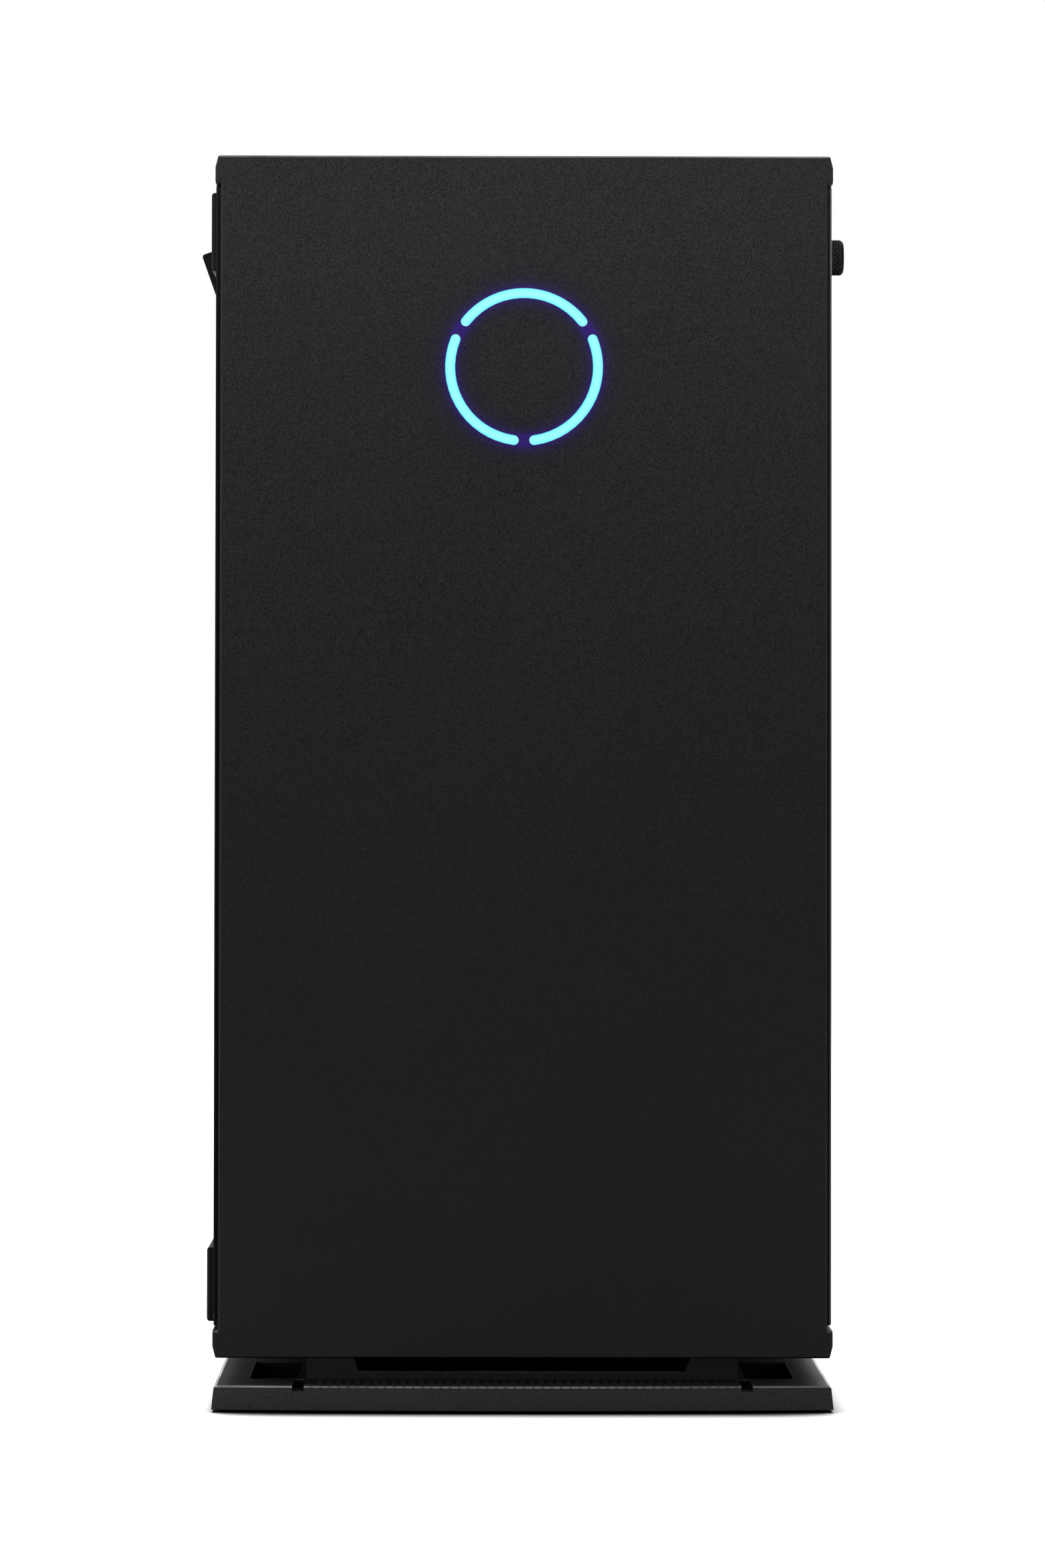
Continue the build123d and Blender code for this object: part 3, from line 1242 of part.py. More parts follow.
# Graphics card
card_fan_z = card_z - shroud_drop
shroud_y0 = card_front - shroud_front
shroud_y1 = card_rear - shroud_rear_gap
card_fan_x = (card_out + card_edge) / 2
card_bore = card_height / 2 - shroud_wall - card_fan_margin + fan_tip
card_fan_gap = (shroud_y1 - shroud_y0 - 2 * shroud_wall - 4 * card_bore) / 3
card_fan_y = [(shroud_y0 + shroud_y1) / 2 + side * (card_bore + card_fan_gap / 2) for side in (-1, 1)]
sink_z1 = card_z - card_die_height
sink_z0 = sink_z1 - card_sink_height
card_motor_z = card_fan_z + card_fan_depth + 2 * hub_clear

with BuildPart() as card_board:
    block(card_out, card_edge, card_front, card_rear, card_z, card_z + card_thickness)
    block(card_edge, x_board - slot_block_height + card_finger, slot_y0 + card_finger_inset,
          slot_y1 - card_finger_inset, card_z, card_z + card_thickness)
card_board.part.label = "card_board"
export_step(card_board.part, "parts/card_board.step")

with BuildPart() as card_heatsink:
    block(card_fan_x - card_die / 2, card_fan_x + card_die / 2, (shroud_y0 + shroud_y1) / 2 - card_die / 2,
          (shroud_y0 + shroud_y1) / 2 + card_die / 2, sink_z1, card_z)
    block(card_out + 2 * shroud_wall, card_edge - 2 * shroud_wall, shroud_y0 + 2 * shroud_wall,
          shroud_y1 - 2 * shroud_wall, sink_z1 - shroud_wall, sink_z1)
    fin_gap = (shroud_y1 - shroud_y0 - 5 * shroud_wall) / (card_sink_fins - 1)
    for number in range(card_sink_fins):
        y = shroud_y0 + 2.5 * shroud_wall + number * fin_gap
        block(card_out + 2 * shroud_wall, card_edge - 2 * shroud_wall, y - card_sink_fin / 2,
              y + card_sink_fin / 2, sink_z0, sink_z1)
card_heatsink.part.label = "card_heatsink"
export_step(card_heatsink.part, "parts/card_heatsink.step")

with BuildPart() as card_shroud:
    block(card_out, card_edge, shroud_y0, shroud_y1, card_fan_z, card_z)
    fillet(card_shroud.edges().filter_by(Axis.Z), 2 * bend)
    chamfer(card_shroud.faces().sort_by(Axis.Z)[0].edges(), bend)
    block(card_out + shroud_wall, card_edge - shroud_wall, shroud_y0 + shroud_wall, shroud_y1 - shroud_wall,
          card_fan_z + shroud_wall, card_z, mode=Mode.SUBTRACT)
    block(card_out, card_edge, shroud_y0 + 4 * bend, shroud_y1 - 4 * bend, sink_z0 + shroud_wall,
          card_z - shroud_wall, mode=Mode.SUBTRACT)
    for y in card_fan_y:
        rod_z(card_fan_z, card_fan_z + shroud_wall, card_fan_x, y, card_bore, mode=Mode.SUBTRACT)
        rod_z(card_motor_z, card_motor_z + motor_plate, card_fan_x, y, card_bore * fan_hub)
        block(card_out + shroud_wall / 2, card_edge - shroud_wall / 2, y - strut, y + strut, card_motor_z,
              card_motor_z + motor_plate)
card_shroud.part.label = "card_shroud"
export_step(card_shroud.part, "parts/card_shroud.step")

with BuildPart() as card_fan_front:
    add(fan_rotor(Plane((card_fan_x, card_fan_y[0], card_fan_z + hub_clear)), card_bore, card_fan_depth,
                  fan_blades + 2))
card_fan_front.part.label = "card_fan_front"
export_step(card_fan_front.part, "parts/card_fan_front.step")

with BuildPart() as card_fan_rear:
    add(fan_rotor(Plane((card_fan_x, card_fan_y[1], card_fan_z + hub_clear)), card_bore, card_fan_depth,
                  fan_blades + 2))
card_fan_rear.part.label = "card_fan_rear"
export_step(card_fan_rear.part, "parts/card_fan_rear.step")

bracket_z0 = slot_z[1] - slot_height / 2 - blank_lap
bracket_z1 = slot_z[0] + slot_height / 2 + blank_lap

with BuildPart() as card_bracket:
    with BuildSketch(facing_front(y_wall)) as bracket_face:
        with Locations(((slot_left + slot_right) / 2, (bracket_z0 + bracket_z1) / 2)):
            Rectangle(slot_length + 2 * blank_lap, bracket_z1 - bracket_z0)
        with Locations(((slot_left + slot_right) / 2, slot_z[0])):
            with GridLocations(1.5 * display_port_width, 1, display_ports, 1):
                Rectangle(display_port_width, display_port_height, mode=Mode.SUBTRACT)
        with Locations(((slot_left + slot_right) / 2, slot_z[1])):
            with GridLocations(2 * groove_pitch, 1, 8, 1):
                SlotOverall(slot_height - blank_lap, groove_pitch, rotation=90, mode=Mode.SUBTRACT)
    extrude(bracket_face.sketch, amount=blank_thickness)
card_bracket.part.label = "card_bracket"
export_step(card_bracket.part, "parts/card_bracket.step")

with BuildPart() as slot_covers:
    for z in slot_z[2:]:
        block(slot_left - blank_lap, slot_right + blank_lap, y_wall - blank_thickness, y_wall,
              z - slot_height / 2 - blank_lap, z + slot_height / 2 + blank_lap)
slot_covers.part.label = "slot_covers"
export_step(slot_covers.part, "parts/slot_covers.step")

# Power supply
with BuildPart() as psu_housing:
    block(psu_left, psu_right, psu_front, y_wall, z_psu, z_psu_top)
    block(psu_left + psu_wall, psu_right - psu_wall, psu_front + psu_wall, y_wall - psu_wall,
          z_psu + psu_wall, z_psu_top - psu_wall, mode=Mode.SUBTRACT)
    with BuildSketch(Plane.XY.offset(z_psu)) as fan_mouth:
        with Locations((psu_middle_x, psu_middle_y)):
            Circle(psu_fan)
            Rectangle(2 * psu_fan, psu_bar, mode=Mode.SUBTRACT)
            Rectangle(psu_bar, 2 * psu_fan, mode=Mode.SUBTRACT)
            Circle(psu_fan * fan_hub, mode=Mode.SUBTRACT)
    extrude(fan_mouth.sketch, amount=psu_wall, mode=Mode.SUBTRACT)
    with BuildSketch(facing_front(y_wall)) as back:
        with Locations((psu_vent_x, psu_vent_z)):
            with HexLocations(vent_pitch, psu_vent_columns, psu_vent_rows):
                RegularPolygon(vent_radius, 6)
        with Locations((inlet_x, inlet_z)):
            Rectangle(inlet_width, inlet_height)
        with Locations((inlet_x, rocker_z)):
            Rectangle(rocker_width + 2 * fit, rocker_height + 2 * fit)
        with Locations(*psu_screws):
            Circle(screw_radius + fit)
    extrude(back.sketch, amount=psu_wall, mode=Mode.SUBTRACT)
    for side in (-1, 1):
        x = inlet_x + side * (rocker_width / 2 + 2 * fit + rocker_frame / 2)
        block(x - rocker_frame / 2, x + rocker_frame / 2, y_wall - psu_wall - rocker_thickness, y_wall - psu_wall,
              rocker_z - rocker_height / 2, rocker_z + rocker_height / 2)
    rod_x(inlet_x - rocker_width / 2 - 2 * fit - rocker_frame, inlet_x + rocker_width / 2 + 2 * fit + rocker_frame,
          y_wall - rocker_thickness / 2, rocker_z, pin_radius)
psu_housing.part.label = "psu_housing"
export_step(psu_housing.part, "parts/psu_housing.step")

with BuildPart() as psu_fan_rotor:
    add(fan_rotor(Plane((psu_middle_x, psu_middle_y, z_psu + psu_wall + hub_clear)), psu_fan, psu_fan_depth,
                  fan_blades))
psu_fan_rotor.part.label = "psu_fan_rotor"
export_step(psu_fan_rotor.part, "parts/psu_fan_rotor.step")

inlet_mouth = y_wall + inlet_rim_thickness

with BuildPart() as psu_power_inlet:
    block(inlet_x - inlet_width / 2, inlet_x + inlet_width / 2, inlet_mouth - inlet_depth, inlet_mouth,
          inlet_z - inlet_height / 2, inlet_z + inlet_height / 2)
    block(inlet_x - inlet_width / 2 - inlet_rim, inlet_x + inlet_width / 2 + inlet_rim, y_wall, inlet_mouth,
          inlet_z - inlet_height / 2 - inlet_rim, inlet_z + inlet_height / 2 + inlet_rim)
    block(inlet_x - inlet_width / 2 + inlet_wall, inlet_x + inlet_width / 2 - inlet_wall,
          inlet_mouth - inlet_depth + inlet_wall, inlet_mouth, inlet_z - inlet_height / 2 + inlet_wall,
          inlet_z + inlet_height / 2 - inlet_wall, mode=Mode.SUBTRACT)
    for x, z in ((0, inlet_pin_rise), (-inlet_pin_spread, -inlet_pin_rise / 2),
                 (inlet_pin_spread, -inlet_pin_rise / 2)):
        block(inlet_x + x - inlet_pin_thickness / 2, inlet_x + x + inlet_pin_thickness / 2,
              inlet_mouth - inlet_depth, inlet_mouth - inlet_depth + inlet_wall + inlet_pin_length,
              inlet_z + z - inlet_pin_width / 2, inlet_z + z + inlet_pin_width / 2)
psu_power_inlet.part.label = "psu_power_inlet"
export_step(psu_power_inlet.part, "parts/psu_power_inlet.step")

rocker_plane = Plane(origin=(inlet_x, y_wall - rocker_thickness / 2, rocker_z), x_dir=(0, 1, 0), z_dir=(1, 0, 0))

with BuildPart() as psu_rocker_switch:
    with BuildSketch(rocker_plane.offset(-rocker_width / 2)) as rocker_side:
        with Locations(Location((0, 0), rocker_tilt)):
            with BuildLine():
                Polyline((-rocker_thickness / 3, -rocker_height / 3), (rocker_thickness / 2, -rocker_height / 2.4),
                         (rocker_thickness / 3, 0), (rocker_thickness / 2, rocker_height / 2.4),
                         (-rocker_thickness / 3, rocker_height / 3), close=True)
            make_face()
        Circle(pin_radius + fit / 3, mode=Mode.SUBTRACT)
    extrude(rocker_side.sketch, amount=rocker_width)
psu_rocker_switch.part.label = "psu_rocker_switch"
export_step(psu_rocker_switch.part, "parts/psu_rocker_switch.step")

# Disk drive and main power cable
with BuildPart() as disk_drive:
    block(drive_left, drive_right, drive_front, drive_rear, z_psu, z_psu + drive_height)
    fillet(disk_drive.edges().filter_by(Axis.Z), drive_round)
    block(drive_left + drive_round, drive_right - drive_round, drive_front + drive_round,
          drive_rear - drive_round, z_psu + drive_height, z_psu + drive_height + drive_lid)
disk_drive.part.label = "disk_drive"
export_step(disk_drive.part, "parts/disk_drive.step")

x_behind = x_tray + inner_sheet + cable_room / 2
x_plug = x_board - connector_height - plug_height
x_arch = x_plug - cable_loop
cable_path = ((psu_right - inlet_side, psu_front, exit_z), (psu_right - inlet_side, exit_y, exit_z),
              (x_behind, exit_y, exit_z), (x_behind, exit_y, connector_z), (x_behind, cable_y, connector_z),
              (x_arch, cable_y, connector_z), (x_arch, connector_y, connector_z),
              (x_plug, connector_y, connector_z))

with BuildPart() as board_power_cable:
    with BuildLine() as route:
        FilletPolyline(*cable_path, radius=cable_bend)
    with BuildSketch(facing_front(psu_front)) as bundle:
        with Locations((psu_right - inlet_side, exit_z)):
            Circle(cable_radius)
    sweep(bundle.sketch, path=route.line)
    block(x_plug, x_board - connector_height, connector_y - connector_width / 2, connector_y + connector_width / 2,
          connector_z - connector_length / 2, connector_z + connector_length / 2)
board_power_cable.part.label = "board_power_cable"
export_step(board_power_cable.part, "parts/board_power_cable.step")
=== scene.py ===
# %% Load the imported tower
import functools
import json
import math
import bmesh
import bpy
import numpy as np
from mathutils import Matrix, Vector


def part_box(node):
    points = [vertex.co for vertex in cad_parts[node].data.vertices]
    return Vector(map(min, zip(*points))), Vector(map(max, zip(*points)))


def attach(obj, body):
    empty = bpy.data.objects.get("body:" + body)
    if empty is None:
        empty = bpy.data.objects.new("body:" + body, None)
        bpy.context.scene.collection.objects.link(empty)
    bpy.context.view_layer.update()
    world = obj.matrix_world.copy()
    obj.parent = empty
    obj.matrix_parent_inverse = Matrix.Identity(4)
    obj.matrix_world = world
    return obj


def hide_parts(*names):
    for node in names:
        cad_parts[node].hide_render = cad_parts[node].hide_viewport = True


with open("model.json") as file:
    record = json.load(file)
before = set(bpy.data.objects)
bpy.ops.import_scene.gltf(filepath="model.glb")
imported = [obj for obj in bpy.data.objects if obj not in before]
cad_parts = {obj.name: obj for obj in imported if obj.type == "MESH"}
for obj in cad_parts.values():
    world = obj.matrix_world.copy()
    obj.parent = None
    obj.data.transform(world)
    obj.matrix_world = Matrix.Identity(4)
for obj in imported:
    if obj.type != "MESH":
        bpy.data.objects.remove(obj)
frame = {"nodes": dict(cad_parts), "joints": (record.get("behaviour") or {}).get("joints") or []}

scene = bpy.context.scene
nodes = frame["nodes"]
joints = {joint["name"]: joint for joint in frame["joints"]}
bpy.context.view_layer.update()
MM = 0.001
TURN = 2 * math.pi

# %% [markdown]
# ## Where the photographer stood
# The photograph looks straight at the front from about two metres, with a long lens, so
# the tower's sides almost vanish. A camera could be aimed by eye, but here its place
# comes from two readings: the level of the horizon and the size of the fascia in pixels.
# The lens is then a simple ratio, and the picture lines up without any fitting.

# %% Camera
def put(name, data):
    """Object in the scene, made from a mesh, curve, lamp or camera."""
    made = bpy.data.objects.new(name, data)
    scene.collection.objects.link(made)
    return made


photo_width, photo_height = 1568, 2353
lens_pixels = 9884.0          # focal length, in pixels of the photograph
front_distance = 2.0          # lens to fascia
eye_side = -16.6 * MM         # the lens stands a little left of the tower's middle
eye_height = 188.0 * MM
middle_pixel = 785.4          # column where the tower's middle shows
horizon_pixel = 1188.3        # row of the horizon
eye_pitch = math.radians(1.5)  # the lens looks up a little, so the top shows narrower than the foot
eye_roll = math.radians(-0.09)

fascia_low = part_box("front_fascia")[0]
eye = bpy.data.cameras.new("eye")
eye.sensor_width = 36.0
eye.lens = lens_pixels / photo_height * eye.sensor_width
eye.shift_y = (horizon_pixel - photo_height / 2 - lens_pixels * math.tan(eye_pitch)) / photo_height
eye_turn = math.atan2(-eye_side, front_distance) - (middle_pixel - photo_width / 2) / lens_pixels
camera = put("camera", eye)
camera.location = (eye_side, fascia_low.y - front_distance, eye_height)
camera.rotation_euler = (math.pi / 2 + eye_pitch, eye_roll, -eye_turn)
scene.camera = camera
scene.view_settings.view_transform = "Standard"
print("lens, mm:", round(eye.lens, 1), "turn, degrees:", round(math.degrees(eye_turn), 3))

# %% [markdown]
# ## Small helpers for node trees
# Every finish below is a node tree. Writing each link by hand would hide the idea, so
# short helpers add a node, a sum, a product, a range and a mix. Each takes plain numbers
# or other nodes' outputs, and finds the tree from the output that it is given.

# %% Node helpers
def feed(socket, value):
    """Links value into the socket if it is an output, and otherwise stores it there."""
    if isinstance(value, bpy.types.NodeSocket):
        socket.id_data.links.new(value, socket)
    else:
        socket.default_value = value


def drive(node, **inputs):
    """Feeds a node's inputs by name, with _ for a space in the name."""
    for name, value in inputs.items():
        feed(node.inputs[name.replace("_", " ")], value)


def add_node(tree, kind, settings=(), **inputs):
    """Adds a shader node, sets its options and feeds its inputs by name."""
    made = tree.nodes.new("ShaderNode" + kind)
    for option, value in dict(settings).items():
        setattr(made, option, value)
    drive(made, **inputs)
    return made


def two_fed(tree, kind, operation, first, second):
    """Outputs of a Math or Vector Math node with its first two inputs fed."""
    made = add_node(tree, kind, {"operation": operation})
    feed(made.inputs[0], first)
    feed(made.inputs[1], second)
    return made.outputs


# %% Sums on node outputs
def calc(operation, first, second=0.0):
    """One Math node: operation on two numbers or outputs, of which one is an output."""
    tree = next(value.id_data for value in (first, second) if isinstance(value, bpy.types.NodeSocket))
    return two_fed(tree, "Math", operation, first, second)[0]


def times(*factors):
    """Product of the factors, with one Math node for each step."""
    return functools.reduce(lambda first, second: calc("MULTIPLY", first, second), factors)


def span(value, low, high, to_low=0.0, to_high=1.0):
    """Carries value from the range low..high to to_low..to_high, and stops at both ends."""
    made = add_node(value.id_data, "MapRange", Value=value, From_Min=low, From_Max=high,
                    To_Min=to_low, To_Max=to_high)
    return made.outputs["Result"]


def mix(share, first, second):
    """Colour between first and second, by share from 0 to 1."""
    made = add_node(share.id_data, "Mix", {"data_type": "RGBA"})
    for place, value in zip((0, 6, 7), (share, first, second)):
        feed(made.inputs[place], value)
    return made.outputs[2]


def where(tree):
    """The point's own X, Y and Z on the piece, in metres."""
    parts = add_node(tree, "SeparateXYZ", Vector=add_node(tree, "TexCoord").outputs["Object"])
    return [parts.outputs[axis] for axis in "XYZ"]


def rgb(red, green, blue):
    """A colour socket's value, in linear light."""
    return (red, green, blue, 1.0)


# %% A new finish
finishes = {}


def new_finish(name, colour, roughness, **plain):
    """Material with one Principled shader, its plain values stored on the sockets."""
    material = bpy.data.materials.new(name)
    material.use_nodes = True
    shader = material.node_tree.nodes["Principled BSDF"]
    drive(shader, Base_Color=rgb(*colour), Roughness=roughness, **plain)
    finishes[name] = material
    return material.node_tree, shader


# %% [markdown]
# ## Studio: floor, backdrop and light
# The photograph is a packshot: white all round, with one tight shadow under the stand.
# Flooding the set with light would bleach the black paint too, so the white comes from
# the colour of the world and floor as the lens, mirrors and glass see them, while the
# light that falls on the tower stays at a plain level.

# %% White world
world_light = 0.38            # what the surroundings send onto the tower

def white_rays(tree):
    """1 for rays from the lens, from a mirror or through glass, and 0 for the rest."""
    rays = add_node(tree, "LightPath")
    shiny = calc("MAXIMUM", rays.outputs["Is Glossy Ray"], rays.outputs["Is Transmission Ray"])
    return calc("MAXIMUM", rays.outputs["Is Camera Ray"], shiny)


world = bpy.data.worlds.new("studio")
world.use_nodes = True
scene.world = world
world_tree = world.node_tree
backdrop = world_tree.nodes["Background"]
drive(backdrop, Color=rgb(1, 1, 1), Strength=span(white_rays(world_tree), 0, 1, world_light, 1.0))

# %% Floor that keeps the contact shadow
floor_half = 6.0
contact_reach = 9 * MM        # how far the tight shadow spreads on all sides
front_reach = 30 * MM         # and how far it leans towards the viewer
back_and_up = (0, 0.9, 0.44)  # where the floor ahead of the stand looks for cover
contact_shade, sheet_white = (0.02, 0.02, 0.02), (0.8, 0.8, 0.8)
own_white = 0.75              # what the paper adds for the lens, so that it shows white

floor_mesh = bpy.data.meshes.new("floor")
floor_corners = [(x * floor_half, y * floor_half, 0) for x, y in ((-1, -1), (1, -1), (1, 1), (-1, 1))]
floor_mesh.from_pydata(floor_corners, [], [(0, 1, 2, 3)])
floor = put("floor", floor_mesh)
paper_tree, paper_shader = new_finish("white_paper", sheet_white, 0.9, Specular_IOR_Level=0.0,
                                      Emission_Color=rgb(1, 1, 1))
stand_low, stand_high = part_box("stand_base")
near = add_node(paper_tree, "AmbientOcclusion", {"samples": 16}, Distance=contact_reach)
ahead = add_node(paper_tree, "AmbientOcclusion", {"samples": 16}, Distance=front_reach, Normal=back_and_up)
floor_x, floor_y, _ = where(paper_tree)
beside = span(calc("ABSOLUTE", floor_x), stand_high.x - 5 * MM, stand_high.x + 4 * MM)
behind = span(floor_y, stand_low.y + 2 * MM, stand_low.y + 12 * MM)
ahead_open = calc("MAXIMUM", calc("MAXIMUM", beside, behind), span(ahead.outputs["AO"], 0.6, 0.92))
open_sky = calc("MINIMUM", span(near.outputs["AO"], 0.35, 0.9), ahead_open)
# painted contact shadow: the paper's colour and its glow darken where occlusion finds the stand close by,
# most of all ahead of it
drive(paper_shader, Base_Color=mix(open_sky, rgb(*contact_shade), rgb(*sheet_white)),
      Emission_Strength=times(span(open_sky, 0, 1, 0, own_white), white_rays(paper_tree)))
floor_mesh.materials.append(finishes["white_paper"])

# %% Soft lamps
def soft_lamp(name, place, aim, width, height, watts, spread=180):
    """Rectangular softbox at place, turned to aim, with its beam held to spread degrees."""
    light = bpy.data.lights.new(name, "AREA")
    light.shape = "RECTANGLE"
    light.size, light.size_y, light.energy = width, height, watts
    light.spread = math.radians(spread)
    holder = put(name, light)
    holder.location = place
    holder.rotation_euler = (Vector(aim) - Vector(place)).to_track_quat("-Z", "Y").to_euler()
    holder.visible_camera = False


middle = Vector((0, 0, 0.19))
soft_lamp("brow_box", (0.0, -1.25, 1.05), (0, -0.18, 0.44), 0.5, 0.2, 0.5, 17)
soft_lamp("overhead", (-0.58, 0.1, 1.9), middle, 1.2, 0.9, 22.0)
soft_lamp("front_left", (-1.7, -2.2, 0.5), middle, 1.2, 0.9, 16.0)
soft_lamp("right_strip", (2.0, -0.9, 0.95), middle, 0.3, 1.1, 10.0)
soft_lamp("rear_fill", (0.6, 2.4, 1.6), middle, 1.4, 1.2, 34.0)
soft_lamp("left_fill", (-2.3, 0.5, 1.2), middle, 1.4, 1.2, 34.0)

# %% [markdown]
# ## Shared surface effects
# Powder paint, moulded plastic and brushed metal differ in scale, not in kind: each is
# a fine random field that lifts the surface and varies its colour and gloss. One node
# group per effect holds that field. A group only puts out masks and heights, so every
# material keeps its own shader and its own plain values.

# %% Group helpers
def new_group(name, inputs, outputs):
    """Empty shader group with number or vector inputs and number outputs."""
    tree = bpy.data.node_groups.new(name, "ShaderNodeTree")
    for label, value in inputs.items():
        kind = "NodeSocketVector" if isinstance(value, tuple) else "NodeSocketFloat"
        tree.interface.new_socket(label, in_out="INPUT", socket_type=kind).default_value = value
    for label in outputs:
        tree.interface.new_socket(label, in_out="OUTPUT", socket_type="NodeSocketFloat")
    return tree, tree.nodes.new("NodeGroupInput").outputs, tree.nodes.new("NodeGroupOutput").inputs


def object_coords(tree, size):
    """Object coordinates divided by size, so that one unit is one grain."""
    place = add_node(tree, "TexCoord").outputs["Object"]
    shrink = two_fed(tree, "Math", "DIVIDE", 1.0, size)[0]
    return add_node(tree, "VectorMath", {"operation": "SCALE"}, Vector=place, Scale=shrink).outputs[0]


def noise(place, scale=1.0, detail=2.0, roughness=0.5):
    """Smooth random field about 0.5."""
    made = add_node(place.id_data, "TexNoise", Vector=place, Scale=scale, Detail=detail, Roughness=roughness)
    return made.outputs["Fac"]


# %% Grain, handling marks and brushed lines
grain, grain_in, grain_out = new_group("paint_grain", {"Size": 1.2 * MM}, ("Fleck", "Height"))
grain_place = object_coords(grain, grain_in["Size"])
feed(grain_out["Fleck"], span(noise(grain_place, 1.0, 1.0), 0.32, 0.68))
feed(grain_out["Height"], noise(grain_place, 0.8, 1.0))

smudge, smudge_in, smudge_out = new_group("handling", {"Size": 60 * MM}, ("Patch",))
feed(smudge_out["Patch"], span(noise(object_coords(smudge, smudge_in["Size"]), 1.0, 4.0), 0.3, 0.7))

streak, streak_in, streak_out = new_group("brushed_streaks", {"Stretch": (1.0, 1.0, 1.0)}, ("Line",))
streak_object = add_node(streak, "TexCoord").outputs["Object"]
streak_place = two_fed(streak, "VectorMath", "MULTIPLY", streak_object, streak_in["Stretch"])[0]
feed(streak_out["Line"], span(noise(streak_place, 1.0, 3.0, 0.6), 0.3, 0.7))

# %% [markdown]
# ## Worn and lit edges
# Paint is thinnest on an edge, and an edge catches the light. One mask finds every edge, for
# wear and painted highlight together. A second mask picks the upper edges and bevels that face
# the lamps above, for a painted highlight. Edges could be picked by hand, piece by piece, but
# they can also be measured: where the normal of a rounded copy leaves the flat normal there is
# an edge, and where the surface itself slopes between upright and level there is a bevel. A
# slow noise breaks up the upper ones.

# %% Edge wear and painted highlight
wear_and_sheen, wear_and_sheen_in, wear_and_sheen_out = new_group("edge_wear_and_sheen", {"Reach": 0.5 * MM}, ("Edge", "Crest"))
rounded = add_node(wear_and_sheen, "Bevel", {"samples": 4}, Radius=wear_and_sheen_in["Reach"]).outputs["Normal"]
flat = add_node(wear_and_sheen, "NewGeometry").outputs["True Normal"]
at_edge = span(two_fed(wear_and_sheen, "VectorMath", "DOT_PRODUCT", rounded, flat)["Value"], 0.99, 0.85)
lean = add_node(wear_and_sheen, "SeparateXYZ", Vector=rounded).outputs["Z"]
slope = add_node(wear_and_sheen, "SeparateXYZ", Vector=flat).outputs["Z"]
bevelled = times(span(slope, 0.4, 0.55), span(slope, 0.97, 0.9))
upper = calc("MAXIMUM", bevelled, times(at_edge, span(lean, 0.35, 0.75)))
crest_patches = span(noise(object_coords(wear_and_sheen, 45 * MM), 1.0, 3.0), 0.35, 0.6, 0.35, 1.0)
feed(wear_and_sheen_out["Edge"], at_edge)
feed(wear_and_sheen_out["Crest"], times(crest_patches, upper))

# %% [markdown]
# ## Circuit board lines
# Copper tracks under the solder mask run straight and bend at set angles, with plated
# holes between them. Thousands of real tracks would cost more than they show, so the
# distance to scattered points, measured along the axes, is cut into bands.

# %% Board traces
traces, traces_in, traces_out = new_group("board_traces", {"Size": 9 * MM}, ("Trace", "Via"))
traces_place = object_coords(traces, traces_in["Size"])
cells = add_node(traces, "TexVoronoi", {"distance": "CHEBYCHEV"}, Vector=traces_place, Scale=1.0)
bands = calc("FRACT", times(cells.outputs["Distance"], 7.0))
dots = add_node(traces, "TexVoronoi", Vector=traces_place, Scale=2.6)
feed(traces_out["Trace"], span(bands, 0.42, 0.5))
feed(traces_out["Via"], span(dots.outputs["Distance"], 0.12, 0.09))
print("effects:", [group.name for group in bpy.data.node_groups])

# %% [markdown]
# ## Finishes
# Each finish starts from one Principled shader. What is the same all over, such as the
# metal share or the gloss level, is stored on the shader itself, and only what changes
# from point to point comes through a group.

# %% Finish helpers
def use_group(tree, group, **inputs):
    """Places a shared effect in a material with its own values."""
    return add_node(tree, "Group", {"node_tree": group}, **inputs).outputs


def raise_surface(shader, height, depth):
    """Bumps the shader's normal by height, 0 to 1, over a depth in metres."""
    bump = add_node(shader.id_data, "Bump", Height=height, Distance=depth)
    drive(shader, Normal=bump.outputs["Normal"])


def colour_so_far(shader):
    """The output that feeds the shader's colour at this point."""
    return shader.inputs["Base Color"].links[0].from_socket


def shade(colour, factor):
    """The colour made darker or lighter by a factor."""
    return rgb(*(value * factor for value in colour))


def grainy(name, colour, roughness, size, swing, depth, edge=2.0, crest=None, **plain):
    """Paint or plastic: flecks swing the colour by a share, edges are lightened to a multiple of
    it as wear and painted highlight, and with a crest colour the upper edges are painted that
    colour as a highlight and given some gloss."""
    tree, shader = new_finish(name, colour, roughness, **plain)
    field = use_group(tree, grain, Size=size)
    patch = use_group(tree, smudge)["Patch"]
    edge_masks = use_group(tree, wear_and_sheen)
    flecked = mix(field["Fleck"], shade(colour, 1 - swing), shade(colour, 1 + swing))
    worn_and_lit_colour = mix(edge_masks["Edge"], flecked, shade(colour, edge))
    if crest:
        # painted highlight: the upper edges and bevels take the crest colour
        worn_and_lit_colour = mix(edge_masks["Crest"], worn_and_lit_colour, rgb(*crest))
        drive(shader, Coat_Weight=times(edge_masks["Crest"], 0.4))
    drive(shader, Base_Color=worn_and_lit_colour,
          Roughness=span(patch, 0, 1, roughness - 0.05, roughness + 0.05))
    raise_surface(shader, field["Height"], depth)
    return tree, shader


def brushed(name, colour, roughness, stretch, **plain):
    """Metal with fine lines: the lines vary the colour a little and the gloss more."""
    tree, shader = new_finish(name, colour, roughness, Metallic=1.0, **plain)
    line = use_group(tree, streak, Stretch=stretch)["Line"]
    drive(shader, Base_Color=mix(line, shade(colour, 0.85), shade(colour, 1.1)),
          Roughness=span(line, 0, 1, roughness + 0.1, roughness - 0.1))
    raise_surface(shader, line, 0.02 * MM)
    return tree, shader


# %% [markdown]
# ## Paint, plastic, rubber and metal
# The case is folded sheet under powder paint, which dries to a fine pebbled film. Rails,
# fans and sockets are moulded, and the hardware is brushed or turned. Each could have a
# tree of its own, but they differ only in colour, gloss and size of grain, so two recipes
# with plain values make them all.

